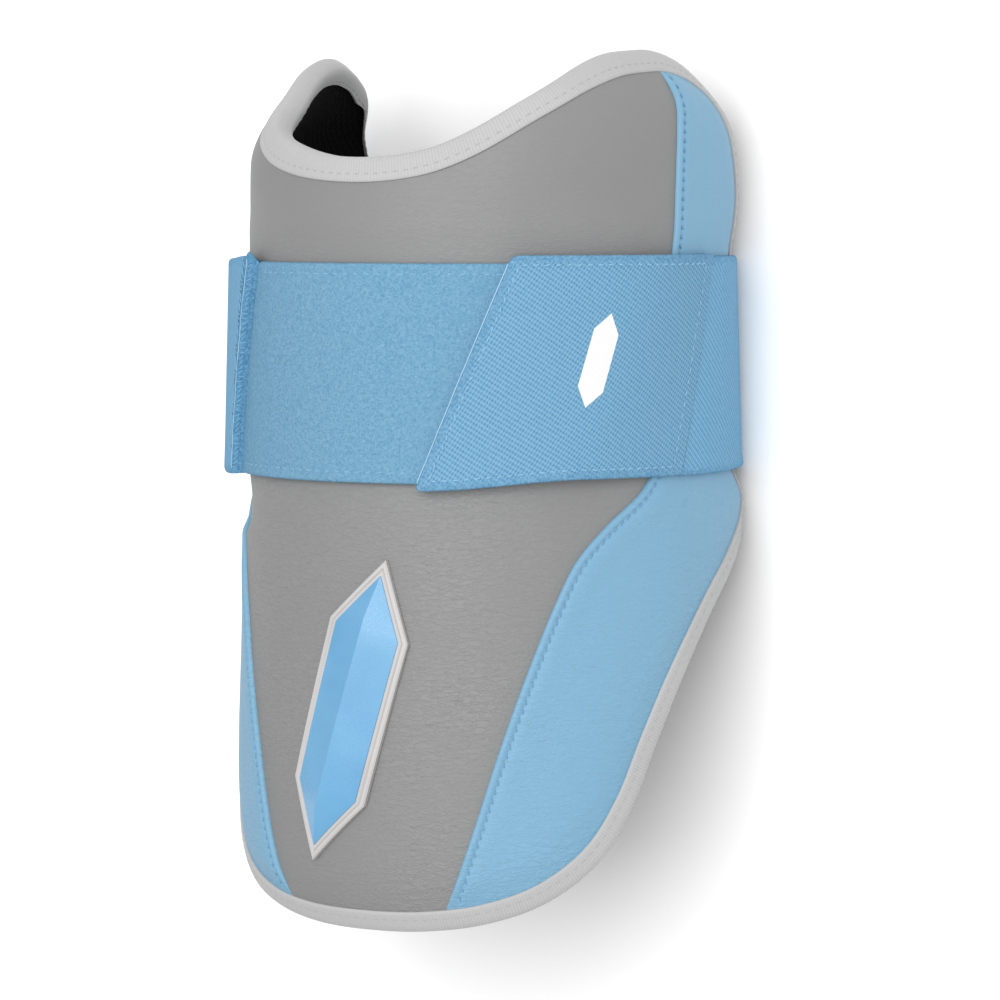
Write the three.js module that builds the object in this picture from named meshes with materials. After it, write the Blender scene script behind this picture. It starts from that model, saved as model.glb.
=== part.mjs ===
// Batting elbow guard, lying on its back: a padded leather wall that wraps the arm, bound
// along its edge and closed behind by an elastic strap whose hook tab holds on a loop panel.
// Millimetres. +X is right of the front, +Y runs up the arm, +Z is up, out of the front.
// A place on the wall is an angle round the arm in degrees, 0 at the front, and a height y.

import * as THREE from "three";

const { clamp, degToRad, lerp, radToDeg, smoothstep } = THREE.MathUtils;

// Driving dimensions

const LEATHER = 1.2;
const LINER = 3.6; // padded mesh liner
const SEAT_GAP = 0.35; // between layers that lie on each other
const LINER_GAP = 0.95; // between the leather and the liner, which are both cupped at the ears
const SEAM_GAP = 0.4; // between the edges of neighbouring pieces
const TAPE = 0.8; // binding tape
const TAPE_LAP = 6.5; // how far the binding laps over each face
const TAPE_GAP = 0.6; // from the tape to the edges and faces that it folds over
const STRAP_MID = 26.6; // height of the strap's middle
const LOOP_WIDTH = 49.2;
const TAB_WIDTH = 53;
const ELASTIC_WIDTH = 50.8;
const LOOP_THICKNESS = 1.5;
const TAB_THICKNESS = 1.9;
const ELASTIC_THICKNESS = 1.6;
const STRAP_SLANT = 21; // degrees that the tab's free end leans back from its top to its foot
const RIDGE_SLANT = 15; // the sewn ridge leans less
const LOOP_END = { left: -34.6, right: 68 }; // angles of the loop panel's top corners
const TAB_END = { left: 36, right: 91 }; // angles of the hook tab's top corners
const TAB_END_SLANT = 12.5; // so does the sewn end of the tab
const RIDGE = { width: 3.2, height: 4.8, rise: 1.6 }; // sewn ridge of the strap
const STRAP_LIFT = 1.75; // elastic above the leather, clear of the binding
const SLACK_LIFT = 2.2; // elastic above the leather on the loose left flank
const BEND = 2; // inner radius of the elastic where it turns under the wall
const TURN_ANGLE = 119.5; // where it leaves the flank to turn under
const BADGE = { angle: -1.3, y: -52.3, halfLength: 36.5, halfWidth: 10.5, shoulder: 17, tilt: 15.5 };
const BADGE_SEAT = 0.6; // lift of the stiff plate, which bridges the wall's curve
const BADGE_PLATE = 1.1;
const BADGE_RISE = 2.6; // height of the badge's faceted face
const BADGE_BORDER = 2.2;
const CENTRING = 2; // moves the middle of the outline up the arm to the origin

// Radius of the outer leather face along the arm: cupped in at the ears and at the hem
const PROFILE = [
  { y: -106, radius: 54.5 },
  { y: -98, radius: 58.4 },
  { y: -88, radius: 60.2 },
  { y: -70, radius: 60.4 },
  { y: -32, radius: 59.4 },
  { y: -2, radius: 58.4 },
  { y: 26, radius: 58.3 },
  { y: 54, radius: 58.3 },
  { y: 75, radius: 58.2 },
  { y: 85, radius: 56.2 },
  { y: 95, radius: 49.6 },
  { y: 104, radius: 42.6 },
];

// Outer edge of the guard, right half, from the middle of the hem to the middle of the neck
const EDGE = [
  { angle: 0, y: -104.3 },
  { angle: 16, y: -103.8 },
  { angle: 31, y: -101.5 },
  { angle: 44.5, y: -96.4 },
  { angle: 56.3, y: -87.4 },
  { angle: 64.6, y: -75.6 },
  { angle: 72.8, y: -59.2 },
  { angle: 82, y: -44.6 },
  { angle: 93.5, y: -31.5 },
  { angle: 106, y: -20.8 },
  { angle: 116, y: -12.6 },
  { angle: 120.5, y: -5.5 },
  { angle: 118, y: 3 },
  { angle: 117, y: 26 },
  { angle: 116.5, y: 51 },
  { angle: 115, y: 60 },
  { angle: 114, y: 71 },
  { angle: 111, y: 81.5 },
  { angle: 108, y: 92 },
  { angle: 100, y: 97.4 },
  { angle: 89, y: 99.9 },
  { angle: 78, y: 100 },
  { angle: 66, y: 97.8 },
  { angle: 53.5, y: 92.8 },
  { angle: 39.5, y: 85.7 },
  { angle: 26.5, y: 80 },
  { angle: 13.5, y: 76.2 },
];
const NECK = { angle: 0, y: 75 };

// Seam between the middle panel and the right side panel
const SEAM = [
  { y: -106, angle: 18.5 },
  { y: -96.5, angle: 21.8 },
  { y: -88, angle: 24.8 },
  { y: -77, angle: 28.3 },
  { y: -60, angle: 33.5 },
  { y: -42.5, angle: 39.6 },
  { y: -25, angle: 46.8 },
  { y: -16.5, angle: 51.6 },
  { y: -9, angle: 59 },
  { y: 0, angle: 69.8 },
  { y: 14, angle: 75.5 },
  { y: 30, angle: 77.3 },
  { y: 53, angle: 77.9 },
  { y: 70, angle: 78.5 },
  { y: 81, angle: 80 },
  { y: 89, angle: 83 },
  { y: 95, angle: 83.5 },
  { y: 104, angle: 79 },
];

// The wall's shape

function spline(rows, along, value) {
  const places = rows.map((row) => row[along]);
  const curve = new THREE.CubicInterpolant(places, rows.map((row) => row[value]), 1);
  return (at) => curve.evaluate(clamp(at, places[0], places.at(-1)))[0];
}

const radiusAt = spline(PROFILE, "y", "radius");
const seamAt = spline(SEAM, "y", "angle");

// The wrap's axis stands so high that the elastic, once turned under, lies on the surface
const turnDrop = Math.cos(degToRad(TURN_ANGLE));
const axisHeight = ELASTIC_THICKNESS + BEND + turnDrop * (BEND - radiusAt(STRAP_MID) - STRAP_LIFT);

const degreeAt = (y) => degToRad(radiusAt(y)); // length of one degree of wrap

// A point at a place on the wall, lifted off its outer face along the normal
function wallPoint({ angle, y }, lift) {
  const lean = Math.atan(radiusAt(y + 0.5) - radiusAt(y - 0.5));
  const radius = radiusAt(y) + lift * Math.cos(lean);
  const turn = degToRad(angle);
  return new THREE.Vector3(
    radius * Math.sin(turn),
    y - lift * Math.sin(lean),
    axisHeight + radius * Math.cos(turn),
  );
}

const mirrored = (line) => line.map(({ angle, y }) => ({ angle: -angle, y })).reverse();

// The whole edge as a closed line of places, anticlockwise from the middle of the hem, with some
// steps for each row of the table
function edgeLine(steps) {
  const left = mirrored(EDGE.slice(1));
  const places = [...EDGE, NECK, ...left].map(({ angle, y }) => new THREE.Vector3(angle, y, 0));
  const curve = new THREE.CatmullRomCurve3(places, true);
  return curve.getPoints(places.length * steps).slice(0, -1).map(({ x, y }) => ({ angle: x, y }));
}

// A closed line of places moved in from the edge
function inset(line, distance) {
  return line.map((place, i) => {
    const before = line.at(i - 1);
    const after = line[(i + 1) % line.length];
    const degree = degreeAt(place.y);
    const run = new THREE.Vector2((after.angle - before.angle) * degree, after.y - before.y);
    run.normalize();
    return { angle: place.angle - (run.y * distance) / degree, y: place.y + run.x * distance };
  });
}

// Places evenly spaced along an open line
function resample(line, steps) {
  const path = new THREE.CurvePath();
  const points = line.map(({ angle, y }) => new THREE.Vector2(angle, y));
  points.slice(1).forEach((point, i) => path.add(new THREE.LineCurve(points[i], point)));
  return Array.from({ length: steps + 1 }, (_, i) => {
    const { x, y } = path.getPointAt(i / steps);
    return { angle: x, y };
  });
}

const blend = (a, b, share) => ({
  angle: lerp(a.angle, b.angle, share),
  y: lerp(a.y, b.y, share),
});

const evenShares = (count) => Array.from({ length: count + 1 }, (_, i) => i / count);

// Rows of places that fill the space inside four border lines
function fill({ left, right, bottom, top }, columns, rows) {
  const [l, r] = [left, right].map((line) => resample(line, rows));
  const [b, t] = [bottom, top].map((line) => resample(line, columns));
  return evenShares(rows).map((v, row) => {
    const [start, end] = [blend(l[0], l[rows], v), blend(r[0], r[rows], v)];
    return evenShares(columns).map((u, column) => {
      const across = blend(l[row], r[row], u);
      const along = blend(b[column], t[column], v);
      const ends = blend(start, end, u);
      return { angle: across.angle + along.angle - ends.angle, y: across.y + along.y - ends.y };
    });
  });
}

// Solids from grids of points

function geometryOf(points, faces) {
  const geometry = new THREE.BufferGeometry().setFromPoints(points);
  geometry.setIndex(faces);
  geometry.computeVertexNormals();
  return geometry;
}

// A closed slab between an outer and an inner grid with the same rows and columns
function slab(outer, inner) {
  const rows = outer.length;
  const columns = outer[0].length;
  const at = (sheet, row, column) => (sheet * rows + row) * columns + column;
  const faces = [];
  const quad = (a, b, c, d) => faces.push(a, b, c, a, c, d);
  for (let row = 1; row < rows; row++) {
    for (let column = 1; column < columns; column++) {
      const corners = (sheet) => [
        at(sheet, row - 1, column - 1),
        at(sheet, row - 1, column),
        at(sheet, row, column),
        at(sheet, row, column - 1),
      ];
      quad(...corners(0));
      quad(...corners(1).reverse());
    }
  }
  const [top, right] = [rows - 1, columns - 1];
  for (let column = 1; column < columns; column++) {
    const left = column - 1;
    quad(at(1, 0, left), at(1, 0, column), at(0, 0, column), at(0, 0, left));
    quad(at(0, top, left), at(0, top, column), at(1, top, column), at(1, top, left));
  }
  for (let row = 1; row < rows; row++) {
    const below = row - 1;
    quad(at(0, below, 0), at(0, row, 0), at(1, row, 0), at(1, below, 0));
    quad(at(1, below, right), at(1, row, right), at(0, row, right), at(0, below, right));
  }
  return geometryOf([...outer.flat(), ...inner.flat()], faces);
}

// A slab of even thickness on the wall, between two lifts
function wallSlab(grid, innerLift, outerLift) {
  const sheet = (lift) => grid.map((row) => row.map((place) => wallPoint(place, lift)));
  return slab(sheet(outerLift), sheet(innerLift));
}

// Triangles that close a ring, taken from side to side so that none runs along its whole length
function capOf(sides) {
  const faces = [];
  let low = 0;
  let high = sides - 1;
  while (high - low > 1) {
    faces.push([low, low + 1, high]);
    low += 1;
    if (high - low > 1) {
      faces.push([low, high - 1, high]);
      high -= 1;
    }
  }
  return faces;
}

// Rings of points joined one to the next, with caps at both ends or closed back onto the first ring
function ringSolid(rings, closed) {
  const sides = rings[0].length;
  const points = rings.flat();
  const faces = [];
  const joins = closed ? rings.length : rings.length - 1;
  for (let ring = 0; ring < joins; ring++) {
    for (let side = 0; side < sides; side++) {
      const here = ring * sides;
      const there = ((ring + 1) % rings.length) * sides;
      const next = (side + 1) % sides;
      faces.push(here + side, here + next, there + next, here + side, there + next, there + side);
    }
  }
  if (!closed) {
    const lastRing = (rings.length - 1) * sides;
    for (const [a, b, c] of capOf(sides)) {
      faces.push(a, c, b);
      faces.push(lastRing + a, lastRing + b, lastRing + c);
    }
  }
  return geometryOf(points, faces);
}

// Leather, liner and binding

const EDGE_STEPS = 9; // fine enough to cut the borders of the panels from it
const PANEL_ROWS = 26; // the same on both sides of a seam, so that its edges stay apart
const leatherEdge = inset(edgeLine(EDGE_STEPS), TAPE + TAPE_GAP);
const rightEdge = leatherEdge.slice(0, EDGE.length * EDGE_STEPS + 1);

// Where the right half of the edge crosses the seam, moved by some degrees: hem first, then ear
function seamCrossings(shift) {
  const side = ({ angle, y }) => angle - seamAt(y) - shift;
  const found = [];
  rightEdge.slice(1).forEach((place, i) => {
    const [from, to] = [side(rightEdge[i]), side(place)];
    if (from * to < 0) {
      found.push({ index: i + 1, place: blend(rightEdge[i], place, from / (from - to)) });
    }
  });
  return { hem: found[0], ear: found.at(-1) };
}

function seamLine(from, to, shift) {
  return evenShares(60).map((share) => {
    const y = lerp(from.y, to.y, share);
    return { angle: seamAt(y) + shift, y };
  });
}

function middlePanel() {
  const shift = -SEAM_GAP / 2;
  const { hem, ear } = seamCrossings(shift);
  const right = seamLine(hem.place, ear.place, shift);
  const hemRight = [...rightEdge.slice(0, hem.index), hem.place];
  const neckRight = [ear.place, ...rightEdge.slice(ear.index)];
  const borders = {
    left: mirrored(right).reverse(),
    right,
    bottom: [...mirrored(hemRight.slice(1)), ...hemRight],
    top: [...mirrored(neckRight).reverse(), ...neckRight.slice(0, -1).reverse()],
  };
  return wallSlab(fill(borders, 16, PANEL_ROWS), -LEATHER, 0);
}

// Index of the edge place that lies nearest to a row of the edge table
function edgeIndexNear(row) {
  const far = rightEdge.map(({ angle, y }) => Math.hypot(angle - row.angle, y - row.y));
  return far.indexOf(Math.min(...far));
}

const HEEL = edgeIndexNear({ angle: 115.5, y: -12.5 }); // lower back corner of the wall
const EAR_BACK = edgeIndexNear({ angle: 108, y: 92 }); // upper back corner of the wall

function sidePanelGrid() {
  const shift = SEAM_GAP / 2;
  const { hem, ear } = seamCrossings(shift);
  const borders = {
    left: seamLine(hem.place, ear.place, shift),
    right: rightEdge.slice(HEEL, EAR_BACK + 1),
    bottom: [hem.place, ...rightEdge.slice(hem.index, HEEL + 1)],
    top: [ear.place, ...rightEdge.slice(EAR_BACK, ear.index).reverse()],
  };
  return fill(borders, 10, PANEL_ROWS);
}

const rightSidePanel = () => wallSlab(sidePanelGrid(), -LEATHER, 0);
const leftSidePanel = () => wallSlab(sidePanelGrid().map(mirrored), -LEATHER, 0);

const LINER_TOP = -LEATHER - LINER_GAP;
const LINER_FACE = LINER_TOP - LINER;

function liner() {
  const right = rightEdge.slice(HEEL, EAR_BACK + 1);
  const hemRight = rightEdge.slice(0, HEEL + 1);
  const neckRight = rightEdge.slice(EAR_BACK);
  const borders = {
    left: mirrored(right).reverse(),
    right,
    bottom: [...mirrored(hemRight.slice(1)), ...hemRight],
    top: [...mirrored(neckRight).reverse(), ...neckRight.slice(0, -1).reverse()],
  };
  return wallSlab(fill(borders, 26, 23), LINER_FACE, LINER_TOP);
}

// U-shaped section of the binding: distance in from the edge, and lift off the leather
function bindingSection() {
  const outside = { under: TAPE_GAP, over: TAPE_GAP + TAPE };
  const inside = { under: LINER_FACE - TAPE_GAP, over: LINER_FACE - TAPE_GAP - TAPE };
  return [
    { depth: TAPE_LAP, lift: outside.under },
    { depth: TAPE_LAP, lift: outside.over },
    { depth: TAPE, lift: outside.over },
    { depth: 0, lift: outside.under },
    { depth: 0, lift: inside.under },
    { depth: TAPE, lift: inside.over },
    { depth: TAPE_LAP, lift: inside.over },
    { depth: TAPE_LAP, lift: inside.under },
    { depth: TAPE, lift: inside.under },
    { depth: TAPE, lift: outside.under },
  ];
}

function binding() {
  const edge = edgeLine(2);
  const threads = bindingSection().map(({ depth, lift }) =>
    inset(edge, depth).map((place) => wallPoint(place, lift)),
  );
  const rings = edge.map((_, i) => threads.map((thread) => thread[i]));
  return ringSolid(rings, true);
}

// Strap

const leaning = (topAngle, slant, share) => topAngle - slant * (1 - share);

// Rows of a strap piece from its foot to its top, with ends that lean
function strapGrid({ width, left, leftSlant, right, rightSlant, columns, rows }) {
  return evenShares(rows).map((share) => {
    const y = STRAP_MID + (share - 0.5) * width;
    const from = leaning(left, leftSlant, share);
    const to = leaning(right, rightSlant, share);
    return evenShares(columns).map((u) => ({ angle: lerp(from, to, u), y }));
  });
}

const RIDGE_DEGREES = radToDeg(RIDGE.width / radiusAt(STRAP_MID));

function loopPanel() {
  const grid = strapGrid({
    width: LOOP_WIDTH,
    left: LOOP_END.left + RIDGE_DEGREES / 2 + SEAM_GAP,
    leftSlant: RIDGE_SLANT,
    right: LOOP_END.right,
    rightSlant: STRAP_SLANT,
    columns: 18,
    rows: 2,
  });
  return wallSlab(grid, SEAT_GAP, SEAT_GAP + LOOP_THICKNESS);
}

const TAB_LIFT = 2 * SEAT_GAP + LOOP_THICKNESS; // on the loop panel
const DROP = { from: LOOP_END.right + 1, to: LOOP_END.right + 9 }; // past the loop panel's end

function tabLift(angle, share) {
  const past = angle + STRAP_SLANT * (1 - share);
  return lerp(TAB_LIFT, STRAP_LIFT, smoothstep(past, DROP.from, DROP.to));
}

function hookTab() {
  const rows = 4;
  const grid = strapGrid({
    width: TAB_WIDTH,
    left: TAB_END.left,
    leftSlant: STRAP_SLANT,
    right: TAB_END.right,
    rightSlant: TAB_END_SLANT,
    columns: 16,
    rows,
  });
  const sheet = (extra) =>
    grid.map((row, i) => row.map((place) => wallPoint(place, tabLift(place.angle, i / rows) + extra)));
  return slab(sheet(TAB_THICKNESS), sheet(0));
}

// The elastic runs from the tab round the right flank, under the wall and up the left flank.
// It lies flat on the surface between the two places where it turns under.
const turnStart = wallPoint({ angle: TURN_ANGLE, y: STRAP_MID }, STRAP_LIFT);
const turnCentre = {
  x: turnStart.x - BEND * Math.sin(degToRad(TURN_ANGLE)),
  z: BEND + ELASTIC_THICKNESS,
};

// Lift of the elastic's inner face, from the loose left flank to the turn
function slackLift(angle) {
  return lerp(STRAP_LIFT, SLACK_LIFT, smoothstep(angle, -110, -85));
}

// Points along the elastic at one share of its width, from the tab to the ridge, some way out
// from its inner face
function elasticRoute(share, out) {
  const y = STRAP_MID + (share - 0.5) * ELASTIC_WIDTH;
  const start = leaning(TAB_END.right + SEAM_GAP, TAB_END_SLANT, share);
  const end = leaning(LOOP_END.left - RIDGE_DEGREES / 2 - SEAM_GAP, RIDGE_SLANT, share);
  const onFlank = (angle) => wallPoint({ angle, y }, (angle > 0 ? STRAP_LIFT : slackLift(angle)) + out);
  const inTurn = (u, side) => {
    const turn = degToRad(lerp(TURN_ANGLE, 180, u));
    const x = turnCentre.x + (BEND + out) * Math.sin(turn);
    return new THREE.Vector3(side * x, y, turnCentre.z + (BEND + out) * Math.cos(turn));
  };
  const onFloor = (u) => new THREE.Vector3(lerp(turnCentre.x, -turnCentre.x, u), y, ELASTIC_THICKNESS - out);
  return [
    ...evenShares(5).slice(0, -1).map((u) => onFlank(lerp(start, TURN_ANGLE, u))),
    ...evenShares(5).map((u) => inTurn(u, 1)),
    ...evenShares(8).slice(1, -1).map(onFloor),
    ...evenShares(5).reverse().map((u) => inTurn(u, -1)),
    ...evenShares(9).slice(1).map((u) => onFlank(lerp(-TURN_ANGLE, end, u))),
  ];
}

function elasticStrap() {
  const sheet = (out) => evenShares(1).map((share) => elasticRoute(share, out));
  return slab(sheet(ELASTIC_THICKNESS), sheet(0));
}

// Sewn ridge where the elastic and the loop panel meet, standing off the left flank
function strapRidge() {
  const half = RIDGE_DEGREES / 2;
  const base = SEAT_GAP;
  const section = [
    { angle: half, lift: base },
    { angle: -half, lift: base },
    { angle: -half, lift: base + RIDGE.height * 0.7 },
    { angle: -half * 0.4, lift: base + RIDGE.height },
    { angle: half * 0.4, lift: base + RIDGE.height },
    { angle: half, lift: base + RIDGE.height * 0.7 },
  ];
  const rings = evenShares(5).map((step) => {
    const share = step * (1 + RIDGE.rise / ELASTIC_WIDTH);
    const y = STRAP_MID + (share - 0.5) * ELASTIC_WIDTH;
    const middle = leaning(LOOP_END.left, RIDGE_SLANT, share);
    return section.map(({ angle, lift }) => wallPoint({ angle: middle + angle, y }, lift));
  });
  return ringSolid(rings, false);
}

// Moulded badge: a plain long hexagon with a bevelled face

function badgeRing(inward, crest, lift) {
  const { angle, y, halfLength, halfWidth, shoulder, tilt } = BADGE;
  const wide = (halfWidth - inward) * crest;
  const long = halfLength - inward * 1.6;
  const flank = long - shoulder;
  const corners = [
    [0, -long],
    [wide, -flank],
    [wide, 0],
    [wide, flank],
    [0, long],
    [-wide, flank],
    [-wide, 0],
    [-wide, -flank],
  ];
  const lean = degToRad(-tilt);
  return corners.map(([across, along]) => {
    const place = new THREE.Vector2(across, along).rotateAround(new THREE.Vector2(), lean);
    return wallPoint({ angle: angle + place.x / degreeAt(y), y: y + place.y }, lift);
  });
}

function badgePlate() {
  const top = BADGE_SEAT + BADGE_PLATE;
  const rings = [
    badgeRing(5, 0.2, BADGE_SEAT),
    badgeRing(0, 1, BADGE_SEAT),
    badgeRing(0, 1, top),
    badgeRing(5, 0.2, top),
  ];
  return ringSolid(rings, false);
}

function badgeFace() {
  const foot = BADGE_SEAT + BADGE_PLATE + SEAT_GAP;
  const border = BADGE_BORDER;
  return ringSolid(
    [
      badgeRing(border + 4, 0.2, foot),
      badgeRing(border, 1, foot),
      badgeRing(border, 1, foot + 0.4),
      badgeRing(border + 5, 0.08, foot + BADGE_RISE),
    ],
    false,
  );
}

// Finishes and assembly

const finish = (color, roughness) => new THREE.MeshStandardMaterial({ color, roughness, metalness: 0 });
const GREY_LEATHER = finish("#9b9b9a", 0.55);
const BLUE_LEATHER = finish("#8db9d8", 0.5);
const BLACK_MESH = finish("#0b0b0c", 0.9);
const GREY_TAPE = finish("#d2d2d2", 0.8);
const BLUE_LOOP = finish("#72aed4", 0.95);
const BLUE_WEAVE = finish("#76b0d6", 0.8);
const BLUE_ELASTIC = finish("#74afd5", 0.8);
const GREY_RUBBER = finish("#c6c4c3", 0.6);
const BLUE_GLOSS = finish("#6aa9d6", 0.3);

const PIECES = [
  { name: "middle_panel", shape: middlePanel, material: GREY_LEATHER },
  { name: "side_panel_right", shape: rightSidePanel, material: BLUE_LEATHER },
  { name: "side_panel_left", shape: leftSidePanel, material: BLUE_LEATHER },
  { name: "padded_liner", shape: liner, material: BLACK_MESH },
  { name: "edge_binding", shape: binding, material: GREY_TAPE },
  { name: "loop_panel", shape: loopPanel, material: BLUE_LOOP },
  { name: "hook_tab", shape: hookTab, material: BLUE_WEAVE },
  { name: "elastic_strap", shape: elasticStrap, material: BLUE_ELASTIC },
  { name: "strap_ridge", shape: strapRidge, material: BLUE_LOOP },
  { name: "badge_plate", shape: badgePlate, material: GREY_RUBBER },
  { name: "badge_face", shape: badgeFace, material: BLUE_GLOSS },
];

const guard = new THREE.Group();
for (const { name, shape, material } of PIECES) {
  const mesh = new THREE.Mesh(shape().translate(0, CENTRING, 0), material);
  mesh.name = name;
  guard.add(mesh);
}

export default guard;
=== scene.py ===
"""Looks of a padded batting elbow guard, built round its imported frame.

The wall is worked out as in the part: a place on it is an angle round the arm in degrees, a
height y up the arm and a lift off the leather face, in millimetres. Meshes are in metres.
"""

import math
from collections import namedtuple

import bmesh
import bpy
import numpy as np
from mathutils import Matrix, Vector, noise


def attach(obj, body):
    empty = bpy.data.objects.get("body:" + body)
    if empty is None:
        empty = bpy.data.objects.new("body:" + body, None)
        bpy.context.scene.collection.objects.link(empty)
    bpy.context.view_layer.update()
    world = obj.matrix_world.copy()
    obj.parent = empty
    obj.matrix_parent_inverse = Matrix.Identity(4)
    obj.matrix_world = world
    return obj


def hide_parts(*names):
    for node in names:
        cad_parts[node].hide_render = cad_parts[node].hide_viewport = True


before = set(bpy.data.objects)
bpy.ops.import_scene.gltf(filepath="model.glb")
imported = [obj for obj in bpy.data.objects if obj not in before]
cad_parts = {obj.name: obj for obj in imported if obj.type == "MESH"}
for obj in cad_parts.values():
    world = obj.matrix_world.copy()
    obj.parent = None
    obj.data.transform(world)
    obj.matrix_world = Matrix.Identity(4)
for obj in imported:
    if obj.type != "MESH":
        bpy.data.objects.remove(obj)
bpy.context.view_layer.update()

MM = 0.001

# Sizes of the part, in millimetres and degrees

LEATHER = 1.2
LINER = 3.6
LINER_TOP = -2.15
LINER_FACE = LINER_TOP - LINER
TAPE_LAP = 6.5
CENTRING = 2

STRAP_MID = 26.6
STRAP_RADIUS = 58.3
STRAP_SLANT = 21
STRAP_SEAT = 0.35
STRAP_LIFT = 1.75
RIDGE_SLANT = 15
LOOP_WIDTH = 50.4
LOOP_MID = 25.5
LOOP_THICKNESS = 1.5
LOOP_BACK = -0.2
LOOP_LEFT, LOOP_RIGHT = -33.8, 68
LOOP_TAPER = 2.2
TAB_WIDTH = 53
TAB_THICKNESS = 1.9
TAB_LEFT, TAB_RIGHT = 36, 91
TAB_END_SLANT = 12.5
TAB_FLARE = 2.6
TAB_CORNER = 1.6
ELASTIC_WIDTH = 50.8
ELASTIC_THICKNESS = 1.6
CLOTH_ROUNDING, ELASTIC_ROUNDING = 0.7, 1.1

# How the elastic lies on the flanks and turns under them
FLANK_LIFT = 0.2
TURN_LIFT = 0.4
TURN_LEAN = 1.5
SLACK_LIFT = 2.2
SLACK_BULGE = 2.25
BEND = 2
TURN_ANGLE = 119.5

BADGE_ANGLE = -1.3
BADGE_Y = -52.3
BADGE_TILT = 15.5

# How far the worn wall departs from an even one
EAR_CURL = 3.1
FLANK_SQUEEZE = 0.9
FLANK_PINCH = 1.6
HEEL_FLARE = 2.1
EAR_FLARE = 1.3
EAR_RISE = 3.2
EAR_DIP = 0.8

# Where it does so, by angles or heights: rise from, rise to, fall from, fall to, share of the fall
LEFT_FLANK = (20, 56, 62, 105, 0.75)
LEFT_EAR_HEIGHTS = (74, 90, 88, 97, 0.35)
LEFT_EAR_FRONT = (12, 34, 46, 62, 1)
PINCH_ANGLES = (25, 70, 75, 108, 1)
PINCH_HEIGHTS = (-15, -10.5, -6, 1, 1)
HEEL_HEIGHTS = (-50, -20, -6, 5, 1)
RIGHT_EAR_HEIGHTS = (52, 66, 78, 94, 1)
RIGHT_EAR_FRONT = (15, 45, 52, 80, 0.8)

# Columns and rows of the grids that the meshes are made of
MIDDLE_GRID = (150, 200)
SIDE_COLUMNS, SIDE_ROWS = 40, 420
LINER_GRID = (150, 130)
LOOP_GRID = (200, 40)
TAB_GRID = (220, 70)
ELASTIC_ROWS = 40

# How high the wrap's axis stands when the elastic, turned under the wall, lies on the floor
TURN_DROP = math.cos(math.radians(TURN_ANGLE))
AXIS_HEIGHT = ELASTIC_THICKNESS + BEND + TURN_DROP * (BEND - STRAP_RADIUS - STRAP_LIFT)

# Radius of the leather face along the arm: y, radius
PROFILE = [
    (-106, 54.5), (-98, 58.4), (-88, 60.2), (-70, 60.4), (-32, 59.4), (-2, 58.4),
    (26, 58.3), (54, 58.3), (75, 58.2), (85, 56.2), (95, 49.6), (104, 42.6),
]

# Right half of the outer edge, from the middle of the hem to the middle of the neck: angle, y
EDGE = [
    (0, -104.3), (16, -103.8), (31, -101.5), (44.5, -96.4), (56.3, -87.4), (64.6, -75.6), (72.8, -59.2),
    (82, -44.6), (93.5, -31.5), (106, -20.8), (116, -12.6), (120.5, -5.5), (118, 3), (117, 26), (116.5, 51),
    (115, 60), (114, 71), (111, 81.5), (108, 92), (100, 97.4), (89, 99.9), (78, 100), (66, 97.8),
    (53.5, 92.8), (39.5, 85.7), (26.5, 80), (13.5, 76.2), (0, 75),
]

# Seam between the middle panel and the right side panel: y, angle
SEAM = [
    (-106, 18.5), (-96.5, 21.8), (-88, 24.8), (-77, 28.3), (-60, 33.5), (-42.5, 39.6), (-25, 46.8),
    (-16.5, 51.6), (-9, 59), (0, 69.8), (14, 75.5), (30, 77.3), (53, 77.9), (70, 78.5), (81, 80), (89, 83),
    (95, 83.5), (104, 79),
]


# Curves and places on the wall

def spline(places, values):
    """A smooth function through the rows of a table."""
    x = np.array(places, float)
    v = np.array(values, float)
    slope = np.gradient(v, x)
    slope[1:-1] = (v[2:] - v[:-2]) / (x[2:] - x[:-2])

    def at(where):
        where = np.clip(where, x[0], x[-1])
        i = np.clip(np.searchsorted(x, where) - 1, 0, len(x) - 2)
        width = x[i + 1] - x[i]
        t = (where - x[i]) / width
        start = v[i] * (1 + 2 * t) * (1 - t) ** 2 + slope[i] * width * t * (1 - t) ** 2
        return start + v[i + 1] * t**2 * (3 - 2 * t) - slope[i + 1] * width * t**2 * (1 - t)

    return at


radius_at = spline(*zip(*PROFILE))
seam_at = spline(*zip(*SEAM))


def smoothstep(x, low, high):
    t = np.clip((x - low) / (high - low), 0, 1)
    return t * t * (3 - 2 * t)


def within(x, rise_from, rise_to, fall_from, fall_to, fall):
    """From 0 up to 1 over one range, and down again by the share fall over another."""
    return smoothstep(x, rise_from, rise_to) * (1 - fall * smoothstep(x, fall_from, fall_to))


def degree_at(y):
    """Length of one degree of wrap."""
    return np.radians(radius_at(y))


def wall_radius(angle, y):
    """Radius of the worn wall: in at the left flank and ear, out at the right ear and heel."""
    left = within(-angle, *LEFT_FLANK)
    curl = EAR_CURL * within(y, *LEFT_EAR_HEIGHTS)
    squeeze = FLANK_SQUEEZE * smoothstep(y, 50, 64)
    pinch = FLANK_PINCH * within(y, *PINCH_HEIGHTS) * within(-angle, *PINCH_ANGLES)
    right = smoothstep(angle, 85, 114)
    heel = HEEL_FLARE * within(y, *HEEL_HEIGHTS)
    ear = EAR_FLARE * within(y, *RIGHT_EAR_HEIGHTS)
    return radius_at(y) - left * (curl + squeeze) - pinch + right * (heel + ear)


def ear_rise(angle, y):
    """How much higher the front of the right ear stands than drawn, and how much lower the left one's."""
    right = EAR_RISE * within(angle, *RIGHT_EAR_FRONT)
    left = EAR_DIP * within(-angle, *LEFT_EAR_FRONT)
    return (right - left) * smoothstep(y, 55, 85)


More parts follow.
